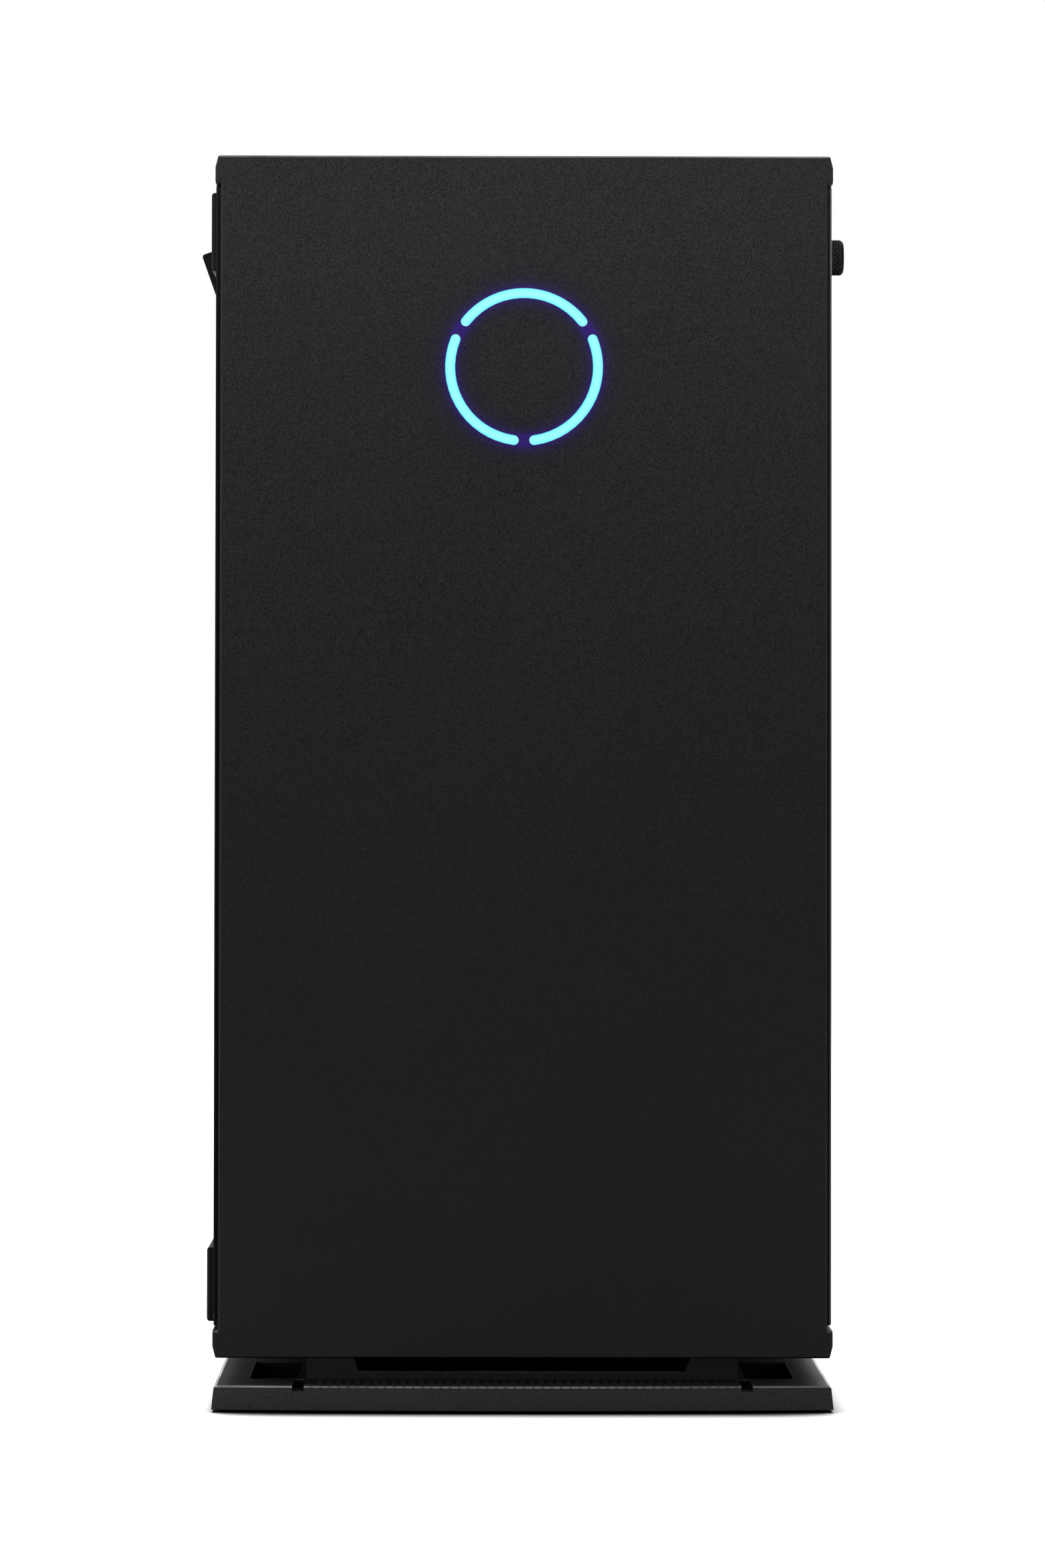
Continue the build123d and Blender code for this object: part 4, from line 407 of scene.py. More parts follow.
# %% Finishes from the two recipes
powder = (0.0098, 0.0097, 0.0096)
# the powder's crest colour is a painted highlight on the upper edges and bevels, and its edge multiple
# lightens every edge as wear and painted highlight
powder_grain = {"roughness": 0.6, "size": 0.3 * MM, "swing": 0.85, "depth": 0.05 * MM, "edge": 1.6,
                "crest": (0.07, 0.075, 0.08), "Specular_IOR_Level": 0.06, "Coat_Roughness": 0.2}
grainy("powder_coat", powder, **powder_grain)
plain_finishes = {   # colour, roughness, grain in mm, swing, depth in mm, edge, gloss
    "inner_paint": ((0.016, 0.016, 0.017), 0.5, 0.8, 0.25, 0.03, 2.0, 0.25),
    "moulded_black": ((0.0048, 0.0048, 0.0052), 0.55, 0.5, 0.2, 0.02, 2.0, 0.05),
    "lever_black": ((0.003, 0.003, 0.0032), 0.6, 0.5, 0.2, 0.02, 3.0, 0.03),
    "part_black": ((0.016, 0.016, 0.017), 0.42, 0.5, 0.2, 0.02, 2.0, 0.3),
    "fan_black": ((0.012, 0.012, 0.013), 0.4, 0.4, 0.15, 0.01, 2.0, 0.35),
    "pad_rubber": ((0.015, 0.015, 0.015), 0.85, 0.7, 0.3, 0.05, 2.0, 0.15),
    "filter_nylon": ((0.007, 0.007, 0.0075), 0.7, 0.4, 0.3, 0.05, 2.0, 0.2),
    "cable_sleeve": ((0.014, 0.014, 0.016), 0.7, 0.6, 0.5, 0.2, 2.0, 0.2),
    # the knob's edge multiple of twelve paints glints on the knurl's edges
    "knob_metal": ((0.0016, 0.0016, 0.0018), 0.4, 0.3, 0.3, 0.01, 12.0, 0.02),
    "chip_black": ((0.012, 0.012, 0.013), 0.35, 0.3, 0.2, 0.005, 2.0, 0.4),
    "port_blue": ((0.01, 0.05, 0.26), 0.45, 0.4, 0.15, 0.005, 2.0, 0.5),
    "port_green": ((0.02, 0.2, 0.06), 0.45, 0.4, 0.15, 0.005, 2.0, 0.5),
    "port_pink": ((0.4, 0.06, 0.1), 0.45, 0.4, 0.15, 0.005, 2.0, 0.5),
    "mark_white": ((0.35, 0.35, 0.35), 0.5, 0.4, 0.1, 0.0, 1.0, 0.5),
    "printed_black": ((0.002, 0.002, 0.0023), 0.4, 0.4, 0.1, 0.005, 2.0, 0.02),
}
for name, (colour, roughness, size, swing, depth, edge, gloss) in plain_finishes.items():
    grainy(name, colour, roughness, size * MM, swing, depth * MM, edge, Specular_IOR_Level=gloss)
brushed("port_steel", (0.55, 0.55, 0.56), 0.32, (120, 120, 2500))
brushed("fin_metal", (0.72, 0.73, 0.74), 0.28, (300, 40, 3000))
brushed("dark_metal", (0.055, 0.056, 0.06), 0.4, (2500, 60, 60))
brushed("brass", (0.7, 0.52, 0.22), 0.3, (300, 300, 300))
brushed("contact_gold", (0.8, 0.55, 0.2), 0.25, (400, 400, 400))
brushed("pipe_copper", (0.72, 0.38, 0.24), 0.28, (400, 400, 60))
print("finishes so far:", len(finishes))

# %% [markdown]
# ## The right panel's front rim
# Seen edge-on from the front, the right panel is a dark strip with a bright line outside
# it, where the rolled edge shines. The dark strip is painted shade for the shadowed gap
# beside the fascia, and the line is gloss on the rolled edge. A trim strip could be added,
# but on the real panel it is one painted sheet, so the paint itself changes over the last
# millimetre.

# %% Panel paint
panel_tree, panel_shader = grainy("panel_coat", powder, **{**powder_grain, "Coat_Roughness": 0.15})
panel_low, panel_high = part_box("right_side_panel")
panel_x, panel_y, _ = where(panel_tree)
outer = span(panel_x, panel_high.x - 0.62 * MM, panel_high.x - 0.5 * MM)
frontal = span(panel_y, panel_low.y + 0.9 * MM, panel_low.y + 0.5 * MM)
# painted shade: the panel's front face inside its outer rim is darkened almost to black, for the shadowed gap
# beside the fascia
gap_shade = times(frontal, calc("SUBTRACT", 1.0, outer))
drive(panel_shader, Coat_Weight=times(outer, frontal),
      Base_Color=mix(gap_shade, colour_so_far(panel_shader), rgb(0.0015, 0.0015, 0.0016)))

# %% [markdown]
# ## The stand
# The stand's upper rim catches the light as a thin line, with a dark groove under it. In
# front of the air opening the line breaks into short dashes, and the pits behind the rim
# lie in shade. The rim is a real bevel on the solid. The line is a painted highlight, and
# the groove and pits are painted shade. All are under a millimetre, so they are drawn by
# height under the stand's top and by place.

# %% Stand finish
stand_black, rim_highlight = (0.0195, 0.0195, 0.021), rgb(0.14, 0.155, 0.165)
dash_pitch = 2.8 * MM
stand_tree, stand_shader = grainy("stand_black", stand_black, 0.55, 0.4 * MM, 0.35, 0.03 * MM, edge=1.0,
                                  Specular_IOR_Level=0.1, Coat_Roughness=0.2)
stand_x, stand_y, stand_z = where(stand_tree)
from_middle = calc("ABSOLUTE", stand_x)
below_top = calc("SUBTRACT", stand_high.z, stand_z)
bevel = use_group(stand_tree, wear_and_sheen)["Crest"]
# painted highlight on the rim's upper band, broken into dashes in front of the air opening, and painted shade
# in the groove under it and in the pits
rim = times(bevel, span(below_top, 0.62 * MM, 0.42 * MM))
groove = times(bevel, span(below_top, 0.45 * MM, 0.65 * MM))
strip_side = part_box("intake_mesh_strip")[1].x
beside_strip = span(from_middle, strip_side - 0.1 * MM, strip_side)
dash = span(calc("FRACT", calc("DIVIDE", stand_x, dash_pitch)), 0.3, 0.36, 0.45, 1.0)
rim_sheen = times(rim, calc("MAXIMUM", beside_strip, dash))
pit = times(span(below_top, 0.2 * MM, 0.8 * MM),
            span(from_middle, stand_high.x - 5 * MM, stand_high.x - 6 * MM),
            span(stand_y, stand_low.y + 14 * MM, stand_low.y + 16 * MM))
shaded = calc("MAXIMUM", times(groove, 0.8), times(pit, 0.9))
stand_shaded_colour = mix(shaded, colour_so_far(stand_shader), rgb(0, 0, 0))
drive(stand_shader, Coat_Weight=rim_sheen, Base_Color=mix(rim_sheen, stand_shaded_colour, rim_highlight))

# %% [markdown]
# ## Circuit boards and glass
# A board is dark lacquer over copper, so its lines show paler and a little raised. The
# side panel is grey glass. A grey surface colour would tint reflections too, so the glass
# stays clear and the grey is in its depth, where light is absorbed on the way through.
# Its index is set lower than real glass, so that the white studio does not veil the inside,
# and lamps shine straight through it, which spares the picture grain.

# %% Circuit board finish
mask_colour = rgb(0.011, 0.016, 0.017)
trace_colour = rgb(0.022, 0.031, 0.032)
via_colour = rgb(0.3, 0.24, 0.12)
board_tree, board_shader = new_finish("solder_mask", mask_colour[:3], 0.38, Specular_IOR_Level=0.4)
board_lines = use_group(board_tree, traces)
lacquer = mix(board_lines["Trace"], mask_colour, trace_colour)
drive(board_shader, Base_Color=mix(board_lines["Via"], lacquer, via_colour))
raise_surface(board_shader, board_lines["Trace"], 0.03 * MM)

# %% Tinted glass
glass_tree, glass_shader = new_finish("smoked_glass", (1.0, 1.0, 1.0), 0.0, IOR=1.12, Transmission_Weight=1.0)
glass_patch = use_group(glass_tree, smudge, Size=90 * MM)["Patch"]
drive(glass_shader, Roughness=span(glass_patch, 0.35, 1.0, 0.0, 0.03))
glass_mix = add_node(glass_tree, "MixShader")
feed(glass_mix.inputs[0], add_node(glass_tree, "LightPath").outputs["Is Shadow Ray"])
feed(glass_mix.inputs[1], glass_shader.outputs[0])
feed(glass_mix.inputs[2], add_node(glass_tree, "BsdfTransparent").outputs[0])
smoke = add_node(glass_tree, "VolumeAbsorption", Color=rgb(0.12, 0.16, 0.18), Density=150.0)
drive(glass_tree.nodes["Material Output"], Surface=glass_mix.outputs[0], Volume=smoke.outputs[0])

# %% [markdown]
# ## The lit emblem and its halo
# A light guide behind the fascia shows as a cyan ring in three arcs, and a faint violet
# bloom lies on the paint round it. The bloom could be added to the picture afterwards,
# but then it would be lost on the model, so the paint itself glows by its distance from
# the ring.

# %% Lit ring
ring_low, ring_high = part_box("emblem_light_guide")
ring_middle = (ring_low + ring_high) / 2
ring_radius = 22.5 * MM       # middle line of the ring
ring_stroke = 3.0 * MM


def ring_distance(tree):
    """Distance from the ring's middle line in the fascia's plane."""
    x, _, z = where(tree)
    across, up = calc("SUBTRACT", x, ring_middle.x), calc("SUBTRACT", z, ring_middle.z)
    radius = calc("SQRT", calc("ADD", times(across, across), times(up, up)))
    return calc("ABSOLUTE", calc("SUBTRACT", radius, ring_radius))


guide_tree, guide_shader = new_finish("lit_acrylic", (0.02, 0.1, 0.12), 0.3, Emission_Strength=1.0)
guide_core = span(ring_distance(guide_tree), 0.6 * MM, ring_stroke / 2)
drive(guide_shader, Emission_Color=mix(guide_core, rgb(0.27, 0.97, 1.0), rgb(0.1, 0.75, 1.0)))

# %% Fascia paint with the halo
bloom_shares = {0.8 * MM: 0.78, 2.6 * MM: 0.22}   # reach and share of the halo's two parts
bloom_colour = rgb(0.017, 0.0, 0.135)
fascia_tree, fascia_shader = grainy("fascia_paint", powder, **powder_grain, Emission_Strength=1.0)
fascia_z = where(fascia_tree)[2]
# painted light: towards the foot the flecks and the lit edges fade into plain paint, standing in for light
# that rakes only the upper face
calm = span(fascia_z, 70 * MM, 240 * MM, 0.75, 0.0)  # the grain shows less towards the foot
# painted shade: a thin band along the fascia's lower edge is darkened
under_edge_shade = span(fascia_z, fascia_low.z + 0.6 * MM, fascia_low.z + 0.3 * MM)
fascia_colour = mix(calm, colour_so_far(fascia_shader), rgb(*powder))
fascia_colour = mix(times(under_edge_shade, 0.85), fascia_colour, rgb(0, 0, 0))
beyond = calc("MAXIMUM", calc("SUBTRACT", ring_distance(fascia_tree), ring_stroke / 2), 0.0)
close_bloom, wide_bloom = [calc("EXPONENT", calc("DIVIDE", beyond, -reach)) for reach in bloom_shares]
close_share, wide_share = bloom_shares.values()
bloom = calc("ADD", times(close_bloom, close_share), times(wide_bloom, wide_share))
# painted glow: the paint round the ring glows violet by its distance from it, and its colour is darkened
# under the wider part of that glow
drive(fascia_shader, Emission_Color=mix(bloom, rgb(0, 0, 0), bloom_colour),
      Base_Color=mix(times(wide_bloom, 0.45), fascia_colour, rgb(0, 0, 0)))

# %% [markdown]
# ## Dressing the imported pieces
# Pieces whose shape is already right keep their mesh and only get a finish. One table
# lists them by finish, and the last line names any piece that it leaves out.

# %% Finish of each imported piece
dressed = {
    "fascia_paint": ("front_fascia",),
    "powder_coat": ("top_cover", "bottom_shell"),
    "panel_coat": ("right_side_panel",),
    "inner_paint": ("rear_wall", "motherboard_tray", "psu_shroud", "front_frame",
                    "slot_covers", "psu_housing"),
    "lever_black": ("latch_lever",),
    "moulded_black": ("glass_top_rail", "glass_bottom_rail", "filter_frame", "io_bezel",
                      "power_button", "reset_button", "audio_jacks"),
    "part_black": ("memory_slots", "expansion_slots", "card_shroud", "psu_rocker_switch", "psu_power_inlet"),
    "stand_black": ("stand_base", "stand_neck"),
    "filter_nylon": ("intake_mesh_strip", "filter_mesh"),
    "pad_rubber": ("foot_pads",),
    "fan_black": ("cpu_fan_frame", "cpu_fan_rotor", "rear_fan_frame", "rear_fan_rotor", "intake_fan_frame",
                  "intake_fan_rotor", "card_fan_front", "card_fan_rear", "psu_fan_rotor"),
    "solder_mask": ("motherboard", "card_board", "io_board", "emblem_led_board", "storage_stick"),
    "port_steel": ("usb_ports", "rear_ports", "io_shield", "processor", "card_bracket", "latch_pin",
                   "panel_magnets", "chassis_screws"),
    "fin_metal": ("cpu_heatsink", "card_heatsink"),
    "dark_metal": ("memory_modules", "board_heatsinks", "disk_drive"),
    "knob_metal": ("panel_thumbscrew",),
    "brass": ("board_standoffs",),
    "cable_sleeve": ("board_power_cable",),
    "smoked_glass": ("glass_pane",),
    "lit_acrylic": ("emblem_light_guide",),
}
for finish_name, dressed_nodes in dressed.items():
    for node_name in dressed_nodes:
        nodes[node_name].data.materials.clear()
        nodes[node_name].data.materials.append(finishes[finish_name])
undressed = sorted(set(nodes) - {name for names in dressed.values() for name in names})
print("packed pieces without a finish:", undressed)

# %% [markdown]
# ## Surfaces from arrays
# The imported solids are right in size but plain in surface. The finer pieces are built
# from rings of points: a ring is carried along, turned or scaled, and each ring is
# joined to the next by four-sided faces. The points are whole numpy arrays, so a knurl
# or a blade is one formula and never a loop over points.

# %% Rings into solids
def grid_faces(rows, columns, rows_close=False):
    """Corner numbers of the cells between points in rows; columns always close into a loop."""
    row = np.arange(rows if rows_close else rows - 1)[:, None]
    column = np.arange(columns)[None, :]
    after, beside = (row + 1) % rows, (column + 1) % columns
    corners = [row * columns + column, row * columns + beside,
               after * columns + beside, after * columns + column]
    return np.stack(np.broadcast_arrays(*corners), -1).reshape(-1, 4)


def loft(rings):
    """Solid through rings of points: ring by ring in four-sided faces, and one face on each end."""
    count, sides = rings.shape[:2]
    ends = np.stack([np.arange(sides)[::-1], np.arange(sides) + (count - 1) * sides])
    return rings.reshape(-1, 3), [grid_faces(count, sides), ends]


def stack(outline, rows):
    """Solid in (right, up, out): the outline times (half width, half height), at each row's out."""
    rows = np.asarray(rows, float)
    rings = np.empty((len(rows), len(outline), 3))
    rings[..., :2] = outline[None] * rows[:, None, :2]
    rings[..., 2] = rows[:, None, 2]
    return loft(rings)


# %% Round and square shapes
def spokes(angle):
    """Points on the unit circle at each angle."""
    return np.stack([np.cos(angle), np.sin(angle)], -1)


def circle(sides):
    """Unit circle in equal steps."""
    return spokes(np.arange(sides) * TURN / sides)


def polar(reach, angle, out):
    """Points at a reach and an angle about the out axis."""
    return np.stack(np.broadcast_arrays(reach * np.cos(angle), reach * np.sin(angle), out), -1)


def tube(section):
    """Closed band from pairs of a loop and its out: each loop joins the next, the last the first."""
    loops = np.stack([np.pad(loop, ((0, 0), (0, 1)), constant_values=out) for loop, out in section])
    return loops.reshape(-1, 3), [grid_faces(*loops.shape[:2], rows_close=True)]


square = np.array([(1, 1), (-1, 1), (-1, -1), (1, -1)], float)


def turned(profile, sides):
    """Solid of revolution about out, from rows of (radius, out)."""
    return stack(circle(sides), [(radius, radius, out) for radius, out in profile])


def brick(width, height, depth, edge=0.0):
    """Block on the plane out = 0, with its front edges cut back by edge."""
    rows = [(width / 2, height / 2, 0), (width / 2, height / 2, depth - edge),
            (width / 2 - edge, height / 2 - edge, depth)]
    return stack(square, rows if edge else rows[:2])


# %% Copying and placing shapes
views = {   # directions to the right and up, for someone who looks at that side from outside
    "left": ((0, -1, 0), (0, 0, 1)), "right": ((0, 1, 0), (0, 0, 1)),
    "front": ((1, 0, 0), (0, 0, 1)), "rear": ((-1, 0, 0), (0, 0, 1)),
    "top": ((1, 0, 0), (0, 1, 0)), "below": ((1, 0, 0), (0, -1, 0)),
}


def grid(across, up, out=0.0):
    """Places at every crossing of the readings across and up."""
    return [(right, rise, out) for right in across for rise in up]


def copies(shape, places):
    """The shape repeated at each place, as one set of points and faces."""
    points, faces = shape
    places = np.asarray(places, float).reshape(-1, 3)
    first = (np.arange(len(places)) * len(points))[:, None, None]
    return ((points[None] + places[:, None]).reshape(-1, 3),
            [(block[None] + first).reshape(-1, block.shape[1]) for block in faces])


def joined(*shapes):
    """Several shapes as one: points in a row, and face numbers moved on by the points before."""
    starts = np.cumsum([0] + [len(points) for points, _ in shapes])
    faces = [block + start for (_, blocks), start in zip(shapes, starts) for block in blocks]
    return np.concatenate([points for points, _ in shapes]), faces


def placed(shape, side, origin):
    """Turns a shape from (right, up, out) to a side of the tower and moves it to origin."""
    points, faces = shape
    right, up = (np.array(axis, float) for axis in views[side])
    return points @ np.stack([right, up, np.cross(right, up)]) + np.asarray(origin, float), faces


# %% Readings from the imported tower
def box_mm(node_name):
    """Lowest corner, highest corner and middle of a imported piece, in millimetres."""
    low, high = (np.array(corner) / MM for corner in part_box(node_name))
    return low, high, (low + high) / 2


def joint_mm(joint_name):
    """Place of a joint, in millimetres."""
    return np.array(joints[joint_name]["pos_m"]) / MM


def on_left(node_name, shape):
    """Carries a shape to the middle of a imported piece's left face."""
    low, _, middle_mm = box_mm(node_name)
    return placed(shape, "left", (low[0], *middle_mm[1:]))


# %% Adding a piece to the model
made = {}


def add_piece(name, finish, shape, body="chassis", replaced=(), smooth=35):
    """Mesh from a shape in millimetres, with faces turned outwards, riding on a body."""
    points, faces = shape
    mesh = bpy.data.meshes.new(name)
    mesh.from_pydata((points * MM).tolist(), [], [face for block in faces for face in block.tolist()])
    shell = bmesh.new()
    shell.from_mesh(mesh)
    bmesh.ops.recalc_face_normals(shell, faces=shell.faces)
    shell.to_mesh(mesh)
    shell.free()
    mesh.shade_smooth()
    mesh.set_sharp_from_angle(angle=math.radians(smooth))
    mesh.materials.append(finishes[finish])
    piece = put(name, mesh)
    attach(piece, body)
    if replaced:
        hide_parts(*replaced)
    made[name] = len(mesh.polygons)
    return piece


# %% [markdown]
# ## Knurled thumbscrew
# The knob on the right panel is turned from bar, and its grip is rolled into diamonds by
# two crossing sets of spiral grooves. A bump pattern would leave a smooth outline, so the
# radius itself is cut: each spiral is a triangle wave in turn angle plus or minus the
# distance along the knob, and the lower of the two waves is the diamond's height.

# %% Knob
knob_low, knob_high, knob_axis = box_mm("panel_thumbscrew")
knob_radius = (knob_high[2] - knob_low[2]) / 2
knob_length, knob_thread = 13.6, 1.75
knurl_turns, knurl_pitch, knurl_depth = 24, 1.6, 0.6
knurl_start, knurl_end, knurl_rows = 1.2, 12.6, 84
dome_start, knob_sides = 11.9, 240
knob_foot = knob_high[0] - knob_length


def triangle(turns):
    """Wave from 0 to 1 and back in each whole turn."""
    return np.abs(2 * (turns % 1.0) - 1)


thread_out = np.linspace(knob_low[0] - knob_foot, -2.6, 60)
knurl_out = np.linspace(knurl_start, dome_start, knurl_rows)
end_angle = np.linspace(0, TURN / 4, 14)[1:]
knob_rows = np.concatenate([
    [(0.02, thread_out[0]), (knob_thread - 0.5, thread_out[0])],
    np.stack([knob_thread - 0.3 * triangle(thread_out / 0.7), thread_out], -1),
    [(1.4, -2.5), (1.4, 0.0), (4.9, 0.0), (5.4, 0.25), (5.4, 0.8), (knob_radius, 1.0)],
    np.stack([np.full(knurl_rows, knob_radius), knurl_out], -1),
    np.stack([knob_radius - 1.5 * (1 - np.cos(end_angle)), dome_start + 1.6 * np.sin(end_angle)], -1),
    [(2.6, knob_length), (2.3, knob_length - 0.3), (0.02, knob_length - 0.3)]])
knob_angle = np.arange(knob_sides)[None] * TURN / knob_sides
knob_out = knob_rows[:, 1:]
spiral = knob_angle / TURN * knurl_turns
lift = np.minimum(triangle(spiral + knob_out / knurl_pitch), triangle(spiral - knob_out / knurl_pitch))
in_grip = np.clip((knob_out - knurl_start) / 0.4, 0, 1) * np.clip((knurl_end - knob_out) / 0.4, 0, 1)
knob_reach = knob_rows[:, :1] - knurl_depth * in_grip * (1 - np.minimum(1.5 * lift, 1))
knob_rings = polar(knob_reach, knob_angle, knob_out)
add_piece("knurled_knob", "knob_metal", placed(loft(knob_rings), "right", (knob_foot, *knob_axis[1:])),
          "thumbscrew", ["panel_thumbscrew"], 50)
print("knob faces:", made["knurled_knob"])

# %% [markdown]
# ## Fan wheels
# A moulded fan blade is thin, cambered and swept, and twists from steep at the hub to
# flat at the tip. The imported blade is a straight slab, which is enough for clearances.
# Here a blade is a family of wing sections: section s goes from the hub to the tip, and
# in each section an ellipse is bent by a parabola and wrapped round the axle.

# %% Six wheels
hub_share = 0.42
blade_sections, section_points = 14, 28
root_pitch, tip_pitch, sweep = 50, 26, 22     # degrees


def wing_blade(hub, tip, depth, blades):
    """Rings of one blade: chord, pitch and sweep change along the radius, and the section is
    an ellipse on a parabolic camber line, wrapped round the axle at each radius."""
    share = np.linspace(0, 1, blade_sections)[:, None]
    round_section = np.arange(section_points)[None] * TURN / section_points
    radius = hub - 0.6 + (tip - hub + 0.6) * share
    pitch = np.radians(root_pitch - (root_pitch - tip_pitch) * share)
    chord = np.minimum(0.5 * TURN * radius / blades / np.cos(pitch) * 0.94, 0.46 * depth / np.sin(pitch))
    chord = chord * (1 - 0.25 * np.clip((share - 0.85) / 0.15, 0, 1) ** 2)
    along = np.cos(round_section)
    off = 0.7 * np.sin(round_section) * (1 - 0.35 * along) + 0.16 * chord * (1 - along ** 2) - 0.08 * chord
    around = chord * along * np.cos(pitch) - off * np.sin(pitch)
    out = depth / 2 + chord * along * np.sin(pitch) + off * np.cos(pitch)
    angle = around / radius + np.radians(sweep) * share ** 1.5
    return polar(radius, angle, np.clip(out, 0.1, depth - 0.1))


def fan_wheel(name, node_name, body, joint_name, side, blades):
    """Hub cap with a shallow dish, and the blade repeated in equal steps about the axle."""
    low, high, _ = box_mm(node_name)
    axis = int(np.argmax(np.abs(np.array(joints[joint_name]["axis"]))))
    depth = high[axis] - low[axis]
    tip = np.delete(high - low, axis).max() / 2
    hub = (tip + 1.2) * hub_share
    cap = turned([(hub - 1.2, 0), (hub, 0), (hub, depth - 1.6), (hub - 0.5, depth - 0.5), (hub - 1.7, depth),
                  (hub * 0.62, depth), (hub * 0.58, depth - 0.5), (0.05, depth - 0.5)], 64)
    rings = wing_blade(hub, tip, depth, blades)
    turns = np.arange(blades) * TURN / blades
    wings = [loft(np.stack([rings[..., 0] * np.cos(turn) - rings[..., 1] * np.sin(turn),
                            rings[..., 0] * np.sin(turn) + rings[..., 1] * np.cos(turn), rings[..., 2]], -1))
             for turn in turns]
    origin = joint_mm(joint_name)
    origin[axis] = high[axis]
    add_piece(name, "fan_black", placed(joined(cap, *wings), side, origin), body, [node_name], 40)


fan_wheel("rear_fan_wheel", "rear_fan_rotor", "rear_rotor", "rear_fan_spin", "front", 9)
fan_wheel("intake_fan_wheel", "intake_fan_rotor", "intake_rotor", "intake_fan_spin", "front", 9)
fan_wheel("cooler_fan_wheel", "cpu_fan_rotor", "cooler_rotor", "cooler_fan_spin", "front", 9)
fan_wheel("card_wheel_front", "card_fan_front", "card_rotor_front", "card_fan_front_spin", "below", 11)
fan_wheel("card_wheel_rear", "card_fan_rear", "card_rotor_rear", "card_fan_rear_spin", "below", 11)
fan_wheel("supply_fan_wheel", "psu_fan_rotor", "supply_rotor", "supply_fan_spin", "below", 9)
print("fan wheels:", {name: faces for name, faces in made.items() if "wheel" in name})

# %% [markdown]
# ## Screws
# Every screw head on the board and the rear wall is a low dome with a cross recess. The
# recess is one of the rings: its radius is the cross outline, which is the smaller of an
# arm's length and an arm's half width over the sine of the angle from the arm.

# %% Screw heads
screw_sides = 32
screw_angle = np.arange(screw_sides) * TURN / screw_sides
from_arm = np.abs((screw_angle + TURN / 8) % (TURN / 4) - TURN / 8)
cross_reach = np.minimum(1.65 / np.cos(from_arm), 0.42 / np.maximum(np.sin(from_arm), 1e-6))
round_reach = np.array([1.4, 1.4, 3.0, 3.0, 2.7, 2.1])[:, None]
head_reach = np.concatenate([np.broadcast_to(round_reach, (6, screw_sides)),
                             np.array([1.0, 0.7, 0.02])[:, None] * cross_reach])
head_out = np.array([-5.0, 0.0, 0.0, 0.9, 1.45, 1.75, 1.8, 0.7, 0.5])[:, None]
screw = loft(polar(head_reach, screw_angle, head_out))
board_high = box_mm("motherboard")[1]
board_face = board_high[0] - 1.6
board_corner = np.array([board_face, *board_high[1:]])     # rear top corner of the board's face
rear_face = box_mm("rear_wall")[1][1]
rear_fan_axle = joint_mm("rear_fan_spin")
supply_low, supply_high, _ = box_mm("psu_housing")
fan_hole = 41.25              # from the axle to a screw, across and up
board_spots = grid((33, 236), (-7, -122, -234))
fan_spots = [(rear_fan_axle[0] + across, rear_face, rear_fan_axle[2] + up)
             for across in (-fan_hole, fan_hole) for up in (-fan_hole, fan_hole)]
supply_spots = [(x, rear_face, z) for x in (supply_low[0] + 6, supply_high[0] - 6)
                for z in (supply_low[2] + 6, supply_high[2] - 6)]
add_piece("cross_head_screws", "port_steel",
          joined(placed(copies(screw, board_spots), "left", board_corner),
                 copies(placed(screw, "rear", (0, 0, 0)), fan_spots + supply_spots)),
          replaced=["chassis_screws"])
print("screw heads:", len(board_spots) + len(fan_spots) + len(supply_spots))

# %% [markdown]
# ## Parts on the main board
# A bare plate does not read as a main board. Its parts are all small blocks and cans in
# rows, so they are placed by two readings each: how far ahead of the board's rear edge
# and how far below its top edge. Every kind is one shape, copied to a list of places.

# %% Coils, cans, chips and headers
coil_spots = grid((56,), range(-37, -108, -10)) + grid(range(64, 121, 10), (-31,))
can_spots = (grid((65,), range(-42, -103, -12)) + grid(range(70, 121, 12), (-41,))
             + grid((180,), (-20, -32, -44, -132, -144)) + grid((208, 222), (-138,)))
chip_spots = ((200, 26, 7), (214, 60, 9), (198, 98, 6), (190, 196, 12),     # back, drop, size
              (226, 150, 8), (24, 196, 9), (160, 236, 7))
pin_rows = [(16, 236, 9), (52, 236, 5), (84, 236, 9), (122, 236, 9), (182, 236, 8), (212, 236, 10)]
coil = stack(square, [(3.8, 3.8, 0), (3.8, 3.8, 5.2), (3.2, 3.2, 6.0)])
can = turned([(3.1, 0), (3.1, 0.8), (2.9, 1.0), (3.1, 1.2), (3.1, 7.4), (2.8, 7.8), (0.02, 7.8)], 20)
chips = [(brick(size, size, 1.3, 0.15), (back, -drop, 0)) for back, drop, size in chip_spots]
pin = stack(square, [(0.32, 0.32, 0), (0.32, 0.32, 8.2), (0.1, 0.1, 8.6)])
pin_spots = [(back + 2.54 * column, -drop + 2.54 * row, 0)
             for back, drop, count in pin_rows for column in range(count) for row in (0, 1)]
pin_blocks = [(brick(2.54 * count, 5.1, 2.5, 0.2), (back + 1.27 * (count - 1), -drop + 1.27, 0))
              for back, drop, count in pin_rows]


def on_board(*shapes):
    """Shapes in (from the rear edge, up from the top edge, out) carried to the board's face."""
    return placed(joined(*shapes), "left", board_corner)


add_piece("board_coils", "dark_metal", on_board(copies(coil, coil_spots)))
add_piece("board_cans", "port_steel", on_board(copies(can, can_spots)))
add_piece("board_chips", "chip_black",
          on_board(*[copies(shape, [place]) for shape, place in chips + pin_blocks]))
add_piece("board_pins", "contact_gold", on_board(copies(pin, pin_spots)))

